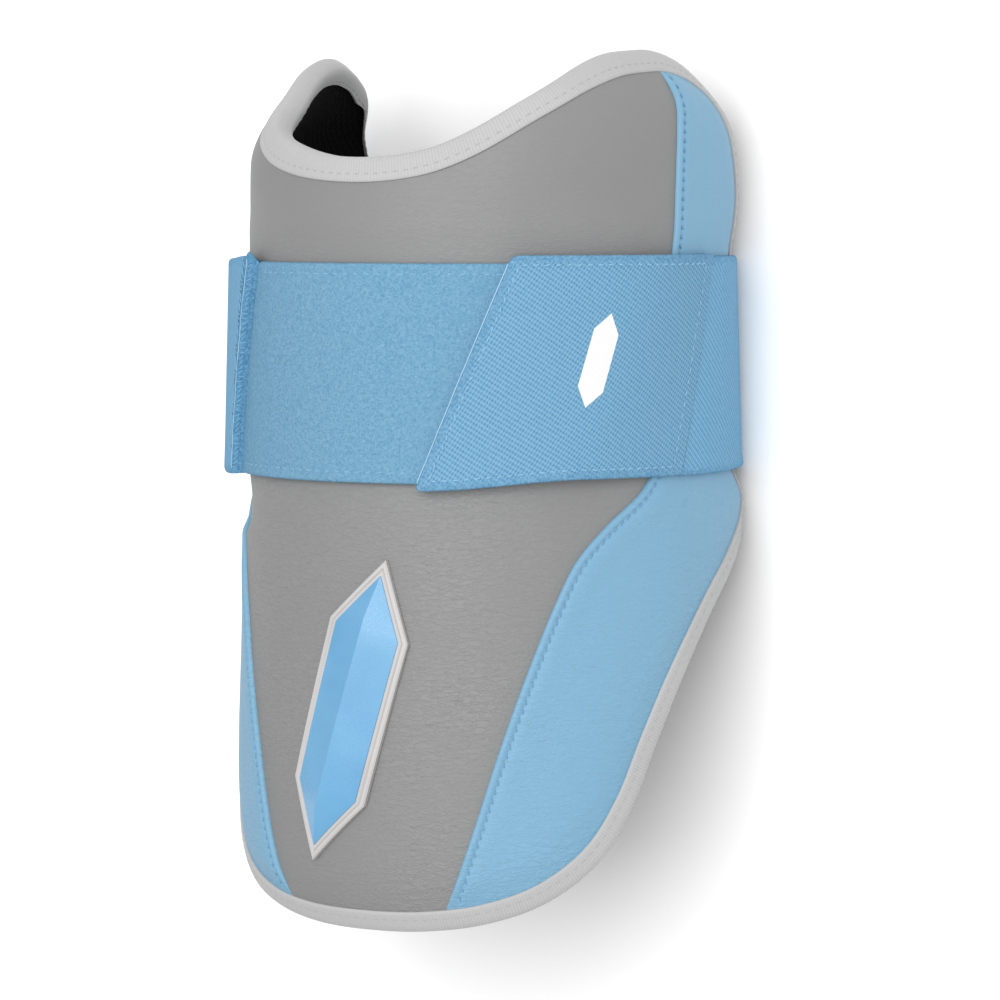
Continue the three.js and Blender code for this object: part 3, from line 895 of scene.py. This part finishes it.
def strap_places(width, middle, left, left_slant, right, right_slant, columns, rows, corner=0.0):
    """Angles, heights and distances from the top or foot and the left end of a strap piece."""
    share = across_shares(width, rows)[:, None]
    u = np.linspace(0, 1, columns)[None]
    long_rim = np.minimum(share, 1 - share) * width
    cut = edge_drop(long_rim, corner) if corner else 0
    start = leaning(left, left_slant, share) + cut / degree_at(STRAP_MID)
    end = leaning(right, right_slant, share)
    angle = start + (end - start) * u
    y = middle + (share - 0.5) * width + 0 * u
    lean = math.atan(left_slant * SLANT_STEP / width)
    end_rim = (angle - start) * degree_at(STRAP_MID) * math.cos(lean)
    return angle, y, long_rim + 0 * u, end_rim


def loop_panel():
    angle, y, rim, _ = strap_places(
        LOOP_WIDTH, LOOP_MID, LOOP_LEFT + 1.2, RIDGE_SLANT, LOOP_RIGHT, STRAP_SLANT, *LOOP_GRID)
    tab_foot = leaning(TAB_LEFT, STRAP_SLANT, 0)
    under_tab = smoothstep(angle, tab_foot + 3, tab_foot + 18)
    y = y + LOOP_TAPER * under_tab * (0.5 - (y - LOOP_MID) / LOOP_WIDTH)
    drop = edge_drop(rim, CLOTH_ROUNDING)
    outer = wall(angle, y, STRAP_SEAT + LOOP_THICKNESS - drop)
    return slab("brushed_loop_panel", outer, wall(angle, y, LOOP_BACK + 0.5 * drop))


def tab_seat(angle, y):
    """Lift of the hook tab's back: on the loop panel, then down past its end onto the elastic."""
    share = (y - STRAP_MID) / TAB_WIDTH + 0.5
    past = angle + STRAP_SLANT * (1 - share)
    on_loop = STRAP_SEAT + LOOP_THICKNESS + 0.1
    return on_loop + (FLANK_LIFT - on_loop) * smoothstep(past, LOOP_RIGHT - 1, LOOP_RIGHT + 24)


def tab_height(angle, y):
    """Height on the tab, whose foot flares down towards its free end."""
    share = (y - STRAP_MID) / TAB_WIDTH + 0.5
    foot = TAB_FLARE * (1 - smoothstep(angle, TAB_LEFT - STRAP_SLANT, TAB_LEFT + 16))
    return y + (1 - share) * (TAB_FOOT_RISE - foot) - share * TAB_TOP_DIP


def tab_faces(angle, y, rim):
    """Lifts of the tab's face and back."""
    seat = tab_seat(angle, y)
    drop = edge_drop(rim, CLOTH_ROUNDING)
    return seat + TAB_THICKNESS - drop, seat + 0.4 * drop


def hook_tab():
    angle, y, long_rim, end_rim = strap_places(
        TAB_WIDTH, STRAP_MID, TAB_LEFT, STRAP_SLANT, TAB_RIGHT, TAB_END_SLANT, *TAB_GRID, TAB_CORNER)
    rim = np.minimum(long_rim, end_rim)
    face, back = tab_faces(angle, y, rim)
    along = (angle - TAB_LEFT + STRAP_SLANT) * degree_at(STRAP_MID)
    uv = np.stack([along, y - STRAP_MID + TAB_WIDTH / 2], -1) * MM
    high = tab_height(angle, y)
    return slab("woven_hook_tab", wall(angle, high, face), wall(angle, high, back), uv, {"rim": rim})


def turn_under(lift):
    """Middle and inner radius of the bend in which the elastic turns from a flank to the floor."""
    bend = (AXIS_HEIGHT + (STRAP_RADIUS + lift) * TURN_DROP - ELASTIC_THICKNESS) / (1 + TURN_DROP)
    return (STRAP_RADIUS + lift - bend) * math.sin(math.radians(TURN_ANGLE)), bend


def turn_lift(side, share):
    """Lift of the elastic's back where it turns under a flank: close in at the top of the right one."""
    return TURN_LIFT - TURN_LEAN * share if side > 0 else STRAP_LIFT


def flank_lift(angle, share):
    """Lift of the elastic's back: pressed in on the right flank, loose and bowed out on the left one."""
    loose = smoothstep(angle, -110, -85) * (angle < 0)
    bulge = SLACK_BULGE * (1 - 0.6 * share) * smoothstep(-angle, 46, 62)
    left = (SLACK_LIFT - STRAP_LIFT + bulge) * loose
    right = FLANK_LIFT + (turn_lift(1, share) - FLANK_LIFT) * smoothstep(angle, 96, 117)
    return np.where(angle > 0, right, STRAP_LIFT + left)


def elastic_route(share, out):
    """Points along the elastic at one share of its width, some way out from its back."""
    y = STRAP_MID + (share - 0.5) * ELASTIC_WIDTH
    placed = y + CENTRING
    bends = []
    for side in (1, -1):
        middle, bend = turn_under(turn_lift(side, share))
        turn = np.radians(np.linspace(TURN_ANGLE, 180, BEND_STEPS))
        x = side * (middle + (bend + out) * np.sin(turn))
        z = ELASTIC_THICKNESS + bend + (bend + out) * np.cos(turn)
        bends.append(np.stack([x, np.full_like(turn, placed), z], -1) * MM)
    right_end, left_end = [side * turn_under(turn_lift(side, share))[0] for side in (1, -1)]
    floor_x = np.linspace(right_end, left_end, FLOOR_STEPS)[1:-1]
    low = np.full_like(floor_x, ELASTIC_THICKNESS - out)
    floor = np.stack([floor_x, np.full_like(floor_x, placed), low], -1) * MM
    right = np.linspace(leaning(TAB_RIGHT + 0.4, TAB_END_SLANT, share), TURN_ANGLE, RIGHT_STEPS)[:-1]
    left = np.linspace(-TURN_ANGLE, leaning(LOOP_LEFT - 1.4, RIDGE_SLANT, share), LEFT_STEPS)[1:]
    slip = (SLIP - SLIP_LESS_AT_TOP * share) * within(-left, *SLIP_ANGLES)
    return np.concatenate([
        wall(right, y, flank_lift(right, share) + out),
        bends[0],
        floor,
        bends[1][::-1],
        wall(left, y - slip, flank_lift(left, share) + out),
    ])


def elastic_strap():
    shares = across_shares(ELASTIC_WIDTH, ELASTIC_ROWS)
    rim = np.minimum(shares, 1 - shares) * ELASTIC_WIDTH
    drop = edge_drop(rim, ELASTIC_ROUNDING)
    outer = np.stack([elastic_route(s, ELASTIC_THICKNESS - d) for s, d in zip(shares, drop)])
    inner = np.stack([elastic_route(s, 0.25 * d) for s, d in zip(shares, drop)])
    step = np.linalg.norm(np.diff(outer, axis=1), axis=2)
    along = np.concatenate([np.zeros((len(shares), 1)), np.cumsum(step, axis=1)], axis=1)
    across = np.repeat(shares[:, None] * ELASTIC_WIDTH * MM, along.shape[1], axis=1)
    marks = {"rim": np.repeat(rim[:, None], along.shape[1], axis=1)}
    return slab("elastic_band", outer, inner, np.stack([along, across], -1), marks)


CREST = 4.4
RIDGE_FOOT = -0.018

# Section of the sewn ridge: millimetres right of its crest, lift, how far its top stands over the strap's
RIDGE_SECTION = [
    (1.05, 0.6, -1.6), (-4.4, 0.6, -0.6), (-4.4, 3.6, -0.6), (-3.9, 4.0, -0.4), (-2.2, 4.14, 0.0),
    (-0.8, 4.26, 0.5), (-0.3, 4.37, 0.9), (0, CREST, 1.0), (0.25, 4.25, 0.8), (0.42, 3.85, 0.3),
    (0.56, 3.3, -0.4), (0.68, 2.75, -1.0), (0.8, 2.3, -1.4), (1.05, 1.95, -1.6),
]


def ridge_place(share, right, rise=0.0):
    """Angle and height on the ridge, by the share of the strap's width and a distance from its crest."""
    y = STRAP_MID + (share - 0.5) * ELASTIC_WIDTH + rise * smoothstep(share, 0.8, 1)
    return leaning(LOOP_LEFT, RIDGE_SLANT, share) + right / degree_at(STRAP_MID), y


def strap_ridge():
    shares = np.concatenate([np.linspace(RIDGE_FOOT, 0.95, 80), np.linspace(0.95, 1, 14)[1:]])
    right, lift, rise = np.array(RIDGE_SECTION).T
    rings = []
    for share in shares:
        round_end = edge_drop(np.array((1 - share) * ELASTIC_WIDTH), 1.0)
        angle, y = ridge_place(share, right, rise)
        rings.append(wall(angle, y, lift - 0.5 * round_end * (lift > 2)))
    points = np.stack(rings)
    count, sides = points.shape[:2]
    foot = range(sides)
    top = range((count - 1) * sides, count * sides)
    faces = [*ring_faces(count, sides, closed=False).tolist(), foot[::-1], top]
    return mesh_piece("sewn_ridge", points.reshape(-1, 3), faces, sharp=50)


# Moulded badge: a plain long hexagon

BADGE_HALF_LENGTH = 36.5
BADGE_HALF_WIDTH = 10.5
BADGE_SHOULDER = 17
BADGE_SEAT = 0.1

# Rings of the badge's border and of its raised middle: distance in from the outline, lift
BORDER_LEVELS = [(0, BADGE_SEAT), (0, 1.3), (0.35, 1.6), (1.0, 1.65), (1.25, 1.4), (1.5, 1.65), (2.3, 1.6)]
FACET_LEVELS = [(2.2, 1.62), (2.2, 1.9)]


def hexagon(inward, steps=10):
    """Places round a hexagon, some way in from the badge's outline, in its own millimetres."""
    wide, long = BADGE_HALF_WIDTH - inward, BADGE_HALF_LENGTH - inward * 1.75
    flank = long - BADGE_SHOULDER * wide / BADGE_HALF_WIDTH
    right = [(0, -long), (wide, -flank), (wide, flank)]
    left = [(0, long), (-wide, flank), (-wide, -flank)]
    corners = np.array(right + left)
    shares = np.linspace(0, 1, steps, endpoint=False)[:, None]
    sides = zip(corners, np.roll(corners, -1, axis=0))
    return np.concatenate([start * (1 - shares) + end * shares for start, end in sides])


def badge_points(local, lift):
    """Points on the wall of places in the badge's own millimetres."""
    turn = math.radians(BADGE_TILT)
    across = local[:, 0] * math.cos(turn) + local[:, 1] * math.sin(turn)
    along = -local[:, 0] * math.sin(turn) + local[:, 1] * math.cos(turn)
    return wall(BADGE_ANGLE + across / degree_at(BADGE_Y), BADGE_Y + along, lift)


def badge_spine(inward):
    """Places on the badge's middle line, one for each place round its hexagon."""
    rim = hexagon(inward)
    reach = BADGE_HALF_LENGTH - BADGE_SHOULDER * 0.8
    return np.stack([0 * rim[:, 0], np.clip(rim[:, 1], -reach, reach)], -1)


def ringed_badge(name, levels, crest, sharp):
    """A closed piece of hexagon rings, each an inset and a lift, up to its middle line."""
    rings = [badge_points(badge_spine(0), levels[0][1])]
    rings += [badge_points(hexagon(inward), lift) for inward, lift in levels]
    rings.append(badge_points(badge_spine(levels[-1][0]), crest))
    points = np.stack(rings)
    faces = ring_faces(*points.shape[:2], closed=False)
    piece = mesh_piece(name, points.reshape(-1, 3), faces, sharp=sharp)
    merge_doubles(piece, 0.001 * MM)
    piece.data.set_sharp_from_angle(angle=math.radians(sharp))
    return piece


# Stitches

def stitch_tree():
    """Node tree that lays one thread at each point, along and off the cloth as the point says."""
    tree = bpy.data.node_groups.new("stitch_run", "GeometryNodeTree")
    inputs = {"Points": "Geometry", "Length": "Float", "Thickness": "Float", "Thread": "Material"}
    for name, kind in inputs.items():
        tree.interface.new_socket(name, in_out="INPUT", socket_type=f"NodeSocket{kind}")
    tree.interface.new_socket("Stitches", in_out="OUTPUT", socket_type="NodeSocketGeometry")
    given = tree.nodes.new("NodeGroupInput").outputs
    sphere = add(tree, "GeometryNodeMeshUVSphere", Segments=8, Rings=6, Radius=0.5).outputs["Mesh"]
    size = add(tree, "ShaderNodeCombineXYZ", X=given["Length"], Y=given["Thickness"], Z=given["Thickness"])
    strand = add(tree, "GeometryNodeTransform", Geometry=sphere, Scale=size.outputs[0]).outputs[0]
    named = {"data_type": "FLOAT_VECTOR"}
    along = add(tree, "GeometryNodeInputNamedAttribute", named, Name="along").outputs["Attribute"]
    out = add(tree, "GeometryNodeInputNamedAttribute", named, Name="out").outputs["Attribute"]
    lengthwise = add(tree, "FunctionNodeAlignRotationToVector", {"axis": "X"}, Vector=along).outputs[0]
    settled = add(tree, "FunctionNodeAlignRotationToVector", {"axis": "Z", "pivot_axis": "X"},
                  Rotation=lengthwise, Vector=out).outputs[0]
    spots = add(tree, "GeometryNodeMeshToPoints", Mesh=given["Points"]).outputs[0]
    laid = add(tree, "GeometryNodeInstanceOnPoints", Points=spots, Instance=strand, Rotation=settled)
    real = add(tree, "GeometryNodeRealizeInstances", Geometry=laid.outputs[0]).outputs[0]
    soft = add(tree, "GeometryNodeSetShadeSmooth", Geometry=real).outputs[0]
    painted = add(tree, "GeometryNodeSetMaterial", Geometry=soft, Material=given["Thread"]).outputs[0]
    tree.links.new(painted, tree.nodes.new("NodeGroupOutput").inputs["Stitches"])
    return tree


STITCH_TREE = stitch_tree()


def stitches(name, spots, along, out, sewing, finish):
    """A piece of threads, one at each spot."""
    mesh = bpy.data.meshes.new(name + "_spots")
    mesh.from_pydata(np.asarray(spots).tolist(), [], [])
    for mark, values in (("along", along), ("out", out)):
        layer = mesh.attributes.new(mark, "FLOAT_VECTOR", "POINT")
        layer.data.foreach_set("vector", np.asarray(values, np.float32).ravel())
    holder = linked(name + "_spots", mesh)
    maker = holder.modifiers.new("stitch_run", "NODES")
    maker.node_group = STITCH_TREE
    values = {"Length": sewing.length * MM, "Thickness": sewing.thickness * MM, "Thread": finish}
    for item in STITCH_TREE.interface.items_tree:
        if item.name in values:
            maker[item.identifier] = values[item.name]
    return plain_mesh(holder, name)


TANGENT_STEP = 0.3
SINK_PHASE, TURN_PHASE = 7.1, 13.0


def thread_run(line, lift_at, pitch, lean=0.0, uneven=0.0):
    """Spots, directions and normals for stitches along a line of places, some turned or sunk a little."""
    far = run_lengths(line)
    count = max(2, int(far[-1] / pitch))
    number = np.arange(count)
    at = (number + 0.5) * far[-1] / count
    places = places_at(line, far, at)
    lift = lift_at(places[:, 0], places[:, 1]) + 0.3 * uneven * np.sin(number * SINK_PHASE)
    spots = wall(places[:, 0], places[:, 1], lift)
    out = wall(places[:, 0], places[:, 1], lift + 1) / MM - spots / MM
    ahead = places_at(line, far, at + TANGENT_STEP)
    behind = places_at(line, far, at - TANGENT_STEP)
    along = wall(ahead[:, 0], ahead[:, 1], lift) - wall(behind[:, 0], behind[:, 1], lift)
    along /= np.linalg.norm(along, axis=1, keepdims=True)
    side = np.cross(out, along)
    turn = (lean + uneven * np.sin(number * TURN_PHASE))[:, None]
    return spots, along * np.cos(turn) + side * np.sin(turn), out


def joined_runs(runs):
    return [np.concatenate(parts) for parts in zip(*runs)]


def kept(line, keep):
    """The stretches of a line where keep holds."""
    edges = np.flatnonzero(np.diff(np.concatenate([[0], keep.astype(int), [0]])))
    return [line[a:b] for a, b in zip(edges[::2], edges[1::2]) if b - a > 4]


# Pitch of a row of stitches, and the length and thickness of one thread, in millimetres
Sewing = namedtuple("Sewing", "pitch length thickness")
SEAM_SEWING = Sewing(SEAM_PITCH, 1.5, 0.54)
BINDING_SEWING = Sewing(2.5, 1.6, 0.34)
LOOP_SEWING = Sewing(2.7, 1.8, 0.36)
TAB_RIM_SEWING = Sewing(2.3, 1.6, 0.44)
TAB_END_SEWING = Sewing(2.55, 1.4, 0.34)
OVERLOCK_SEWING = Sewing(1.15, 1.8, 0.38)
ZIGZAG_SEWING = Sewing(1.15, 2.6, 0.5)

# How far the middle of a thread stands off the face that it is sewn on
SEAM_PROUD = 0.05
TAPE_PROUD, TAPE_BACK_PROUD = 0.13, 0.1
LOOP_PROUD = -0.04
TAB_PROUD = 0.08

# How far the rows of stitches lie in from the pieces' rims
BINDING_FRONT_ROW, BINDING_BACK_ROW = 4.4, 2.6
LOOP_ROW = 2.5
TAB_ROW = 2.3
STITCH_LEAN = 0.5


def seam_stitches():
    line = seam_line(STITCH_IN)
    clear = np.abs(line[:, 1] - STRAP_MID) > TAB_WIDTH / 2 - 2
    shown = clear & (edge_distance(line[:, 0], line[:, 1]) > TAPE_LAP + 1.4)
    groove = float(fold_lift(STITCH_IN))

    def lift_at(angle, y):
        return relief(angle, y) + SEAM_PROUD + groove * under_tape(angle, y)

    runs = []
    for stretch in kept(line, shown):
        runs.append(thread_run(stretch, lift_at, SEAM_SEWING.pitch, STITCH_LEAN))
        runs.append(thread_run(mirrored(stretch), lift_at, SEAM_SEWING.pitch, -STITCH_LEAN))
    # The seam's threads are painted darker, as the shade of their stitch holes.
    return stitches("seam_stitches", *joined_runs(runs), SEAM_SEWING, SHADED_SEAM_THREAD)


def binding_stitches():
    closed = np.arange(len(outline) + 1) % len(outline)
    outer = shifted(outline, -BINDING_FRONT_ROW * outer_lap(outline), closed=True)[closed]
    inner = shifted(outline, -BINDING_BACK_ROW * inner_lap(outline), closed=True)[closed]

    def front_lift(angle, y):
        return TAPE_FACE + TAPE_PROUD - strap_squeeze(y)

    def back_lift(angle, y):
        return np.full_like(y, TAPE_BACK - TAPE_BACK_PROUD)

    front = thread_run(outer, front_lift, BINDING_SEWING.pitch)
    back = thread_run(inner, back_lift, BINDING_SEWING.pitch)
    return stitches("binding_stitches", *joined_runs([front, back]), BINDING_SEWING, GREY_THREAD)


def loop_stitches():
    def lift_at(angle, y):
        return np.full_like(y, STRAP_SEAT + LOOP_THICKNESS + LOOP_PROUD)

    runs = []
    for share in (LOOP_ROW / LOOP_WIDTH, 1 - LOOP_ROW / LOOP_WIDTH):
        left = leaning(LOOP_LEFT + 3.5, RIDGE_SLANT, share)
        angle = np.linspace(left, leaning(TAB_LEFT, STRAP_SLANT, share), 60)
        line = np.stack([angle, np.full_like(angle, LOOP_MID + (share - 0.5) * LOOP_WIDTH)], -1)
        runs.append(thread_run(line, lift_at, LOOP_SEWING.pitch, uneven=0.3))
    return stitches("loop_panel_stitches", *joined_runs(runs), LOOP_SEWING, LOOP_THREAD)


def tab_path(corners):
    """A line of places through corners given as a share of the tab's width and an angle."""
    places = np.array([(angle, STRAP_MID + (share - 0.5) * TAB_WIDTH) for share, angle in corners])
    return resample(places, 300)


def on_tab(line):
    return np.stack([line[:, 0], tab_height(line[:, 0], line[:, 1])], -1)


def tab_stitches():
    low, high = TAB_ROW / TAB_WIDTH, 1 - TAB_ROW / TAB_WIDTH
    free_foot = leaning(TAB_LEFT + 2.5, STRAP_SLANT, low)
    free_top = leaning(TAB_LEFT + 2.5, STRAP_SLANT, high)
    sewn_foot = leaning(TAB_RIGHT - 3.2, TAB_END_SLANT, low)
    sewn_top = leaning(TAB_RIGHT - 3.2, TAB_END_SLANT, high)
    rim = [
        tab_path([(low, sewn_foot), (low, free_foot)]),
        tab_path([(low, free_foot), (high, free_top)]),
        tab_path([(high, free_top), (high, sewn_top)]),
    ]
    sewn = tab_path([(high, sewn_top), (low, sewn_foot)])

    def face(angle, y):
        return tab_seat(angle, y) + TAB_THICKNESS + TAB_PROUD

    runs = [thread_run(on_tab(line), face, TAB_RIM_SEWING.pitch, uneven=0.35) for line in rim]
    end_run = thread_run(on_tab(sewn), face, TAB_END_SEWING.pitch, uneven=0.2)
    return (
        stitches("tab_rim_stitches", *joined_runs(runs), TAB_RIM_SEWING, BLUE_THREAD),
        stitches("tab_end_stitches", *end_run, TAB_END_SEWING, BLUE_THREAD),
    )


# Threads on the ridge: start right of the crest, its lift, end right of the crest, its lift, slant
OVERLOCK = (0.25, 4.28, 0.78, 2.6, 0.022)
ZIGZAG = (-0.5, 4.45, -3.3, 4.2, 0.03)
RIDGE_SWAY, RIDGE_SINK = 0.014, 0.2


def ridge_stitches(name, row, sewing):
    """Threads laid over the ridge, from one distance right of its crest to another."""
    from_right, from_lift, to_right, to_lift, slant = row
    spots, along, out = [], [], []
    for number, share in enumerate(np.arange(0.03, 0.96, sewing.pitch / ELASTIC_WIDTH)):
        sway = RIDGE_SWAY * math.sin(number * 5.3)
        sunk = RIDGE_SINK * math.sin(number * 2.7)
        start = wall(*ridge_place(share - slant / 2 + sway, from_right), from_lift)
        end = wall(*ridge_place(share + slant / 2 - sway, to_right), to_lift + sunk)
        ahead = wall(*ridge_place(share + 0.02, from_right), from_lift) - start
        spots.append((start + end) / 2)
        along.append((end - start) / np.linalg.norm(end - start))
        out.append(np.cross(along[-1], ahead))
    return stitches(name, spots, along, out, sewing, RIDGE_THREAD)


def thread_tube(name, points, radius):
    """A thin thread laid along points, with closed ends."""
    curve = bpy.data.curves.new(name, "CURVE")
    curve.dimensions = "3D"
    curve.bevel_depth = radius * MM
    curve.bevel_resolution = 2
    curve.use_fill_caps = True
    path = curve.splines.new("POLY")
    path.points.add(len(points) - 1)
    path.points.foreach_set("co", np.c_[points, np.ones(len(points))].ravel())
    piece = plain_mesh(linked(name + "_path", curve), name)
    merge_doubles(piece, 0.01 * MM)
    piece.data.shade_smooth()
    return piece


CREST_THREAD_RADIUS, EDGE_THREAD_RADIUS = 0.1, 0.14


# A thread tube along the ridge's crest, coloured pale: a painted highlight on the fold.
def ridge_crest_highlight_thread():
    share = np.linspace(0.0, 0.985, 90)
    sway = 0.12 * np.sin(share * 23) + 0.08 * np.sin(share * 61)
    angle, y = ridge_place(share, sway)
    return thread_tube("ridge_crest_highlight_thread", wall(angle, y, CREST - 0.02), CREST_THREAD_RADIUS)


# A thread tube along the tab's slanted edge, coloured pale: a painted highlight on its rounded top.
def tab_edge_highlight_thread():
    share = np.linspace(0.035, 0.965, 120)
    sway = 0.1 * np.sin(share * 31) + 0.08 * np.sin(share * 77 + 1)
    angle = leaning(TAB_LEFT, STRAP_SLANT, share)
    y = STRAP_MID + (share - 0.5) * TAB_WIDTH
    lift = tab_seat(angle, y) + TAB_THICKNESS - 0.45 + sway
    line = wall(angle, tab_height(angle, y), lift)
    return thread_tube("tab_edge_highlight_thread", line, EDGE_THREAD_RADIUS)


# Assembly

def finish_piece(piece, finish, slot, *nodes):
    """Gives a piece its finish, attaches it to the root body and hides the imported parts that it stands for.
    """
    if finish is not None:
        piece.data.materials.clear()
        piece.data.materials.append(finish)
    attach(piece, "root")
    if nodes:
        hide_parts(*nodes)
    return piece


middle = finish_piece(middle_panel(), GREY_LEATHER, "grey_leather", "middle_panel")
side_places, side_distance = side_grid()
right_panel = side_panel("leather_side_right", side_places, side_distance)
finish_piece(right_panel, BLUE_LEATHER, "blue_leather", "side_panel_right")
left_panel = side_panel("leather_side_left", mirrored(side_places)[:, ::-1], side_distance[::-1])
finish_piece(left_panel, BLUE_LEATHER, "blue_leather", "side_panel_left")
pad = finish_piece(liner(), BLACK_MESH, "black_mesh", "padded_liner")
tape = finish_piece(binding(), GREY_TAPE, "grey_tape", "edge_binding")
loop = finish_piece(loop_panel(), BLUE_LOOP, "blue_loop", "loop_panel")
tab = finish_piece(hook_tab(), BLUE_TAB, "blue_weave", "hook_tab")
elastic = finish_piece(elastic_strap(), BLUE_WEAVE, "blue_elastic", "elastic_strap")
finish_piece(strap_ridge(), SHADED_RIDGE_CLOTH, "blue_loop", "strap_ridge")
border = ringed_badge("badge_border", BORDER_LEVELS, 1.6, 30)
finish_piece(border, GREY_RUBBER, "grey_rubber", "badge_plate")
facets = ringed_badge("badge_facets", FACET_LEVELS, 4.6, 12)
finish_piece(facets, BLUE_GLOSS, "blue_gloss", "badge_face")
finish_piece(seam_stitches(), None, "blue_leather")
finish_piece(binding_stitches(), None, "grey_tape")
finish_piece(loop_stitches(), None, "blue_loop")
for run in tab_stitches():
    finish_piece(run, None, "blue_weave")
finish_piece(ridge_stitches("ridge_overlock", OVERLOCK, OVERLOCK_SEWING), None, "blue_loop")
finish_piece(ridge_stitches("ridge_zigzag", ZIGZAG, ZIGZAG_SEWING), None, "blue_loop")
finish_piece(ridge_crest_highlight_thread(), PALE_HIGHLIGHT_THREAD, "blue_loop")
finish_piece(tab_edge_highlight_thread(), PALE_HIGHLIGHT_THREAD, "blue_weave")


# Floor, light and camera

CAMERA_AZIMUTH = 31.6
CAMERA_DISTANCE = 1100
EYE_Y = 64.6
PHOTO_SIZE = 1000
AXIS_PIXEL, EYE_PIXEL = 491, 202
MM_PER_PIXEL = 0.24
SENSOR = 36
FLOOR_REACH = 8
FLOOR_HEIGHT = -0.0003
PALE = colour(250, 250, 250)
WORLD_STRENGTH = 0.66

floor_mesh = bpy.data.meshes.new("floor")
corners = [(x * FLOOR_REACH, y * FLOOR_REACH, FLOOR_HEIGHT) for x, y in ((-1, -1), (1, -1), (1, 1), (-1, 1))]
floor_mesh.from_pydata(corners, [], [(0, 1, 2, 3)])
floor = linked("floor", floor_mesh)
floor_finish, _, _ = new_finish("pale_floor", Base_Color=PALE, Roughness=0.9, Specular_IOR_Level=0.1)
floor_mesh.materials.append(floor_finish)

turn = math.radians(CAMERA_AZIMUTH)
view_out = Vector((math.sin(turn), 0, math.cos(turn)))
view_right = Vector((math.cos(turn), 0, -math.sin(turn)))
view_up = Vector((0, 1, 0))
eye_point = Vector((0, EYE_Y + CENTRING, AXIS_HEIGHT)) * MM
aim = eye_point + view_right * (PHOTO_SIZE / 2 - AXIS_PIXEL) * MM_PER_PIXEL * MM
aim -= view_up * (PHOTO_SIZE / 2 - EYE_PIXEL) * MM_PER_PIXEL * MM
camera_place = eye_point + view_out * CAMERA_DISTANCE * MM


def looking(place, target, up):
    """Matrix of a camera or light at a place that looks at a target."""
    back = (place - target).normalized()
    right = up.cross(back).normalized()
    matrix = Matrix((right, back.cross(right), back)).transposed().to_4x4()
    matrix.translation = place
    return matrix


camera_data = bpy.data.cameras.new("camera")
camera_data.sensor_width = SENSOR
camera_data.lens = CAMERA_DISTANCE / MM_PER_PIXEL * SENSOR / PHOTO_SIZE
camera = linked("camera", camera_data)
camera.matrix_world = looking(camera_place, aim, view_up)
bpy.context.scene.camera = camera


def soft_light(name, out, right, up, size, power):
    """Area light placed by metres out, right and up from the object as the camera sees it."""
    data = bpy.data.lights.new(name, "AREA")
    data.size = size
    data.energy = power
    place = aim + view_out * out + view_right * right + view_up * up
    linked(name, data).matrix_world = looking(place, aim, view_up)


soft_light("key", out=1.5, right=-0.5, up=0.32, size=1.3, power=26)

world = bpy.data.worlds.new("studio")
world.use_nodes = True
background = world.node_tree.nodes["Background"]
background.inputs["Color"].default_value = (1, 1, 1, 1)
background.inputs["Strength"].default_value = WORLD_STRENGTH
bpy.context.scene.world = world
bpy.context.scene.view_settings.view_transform = "Standard"
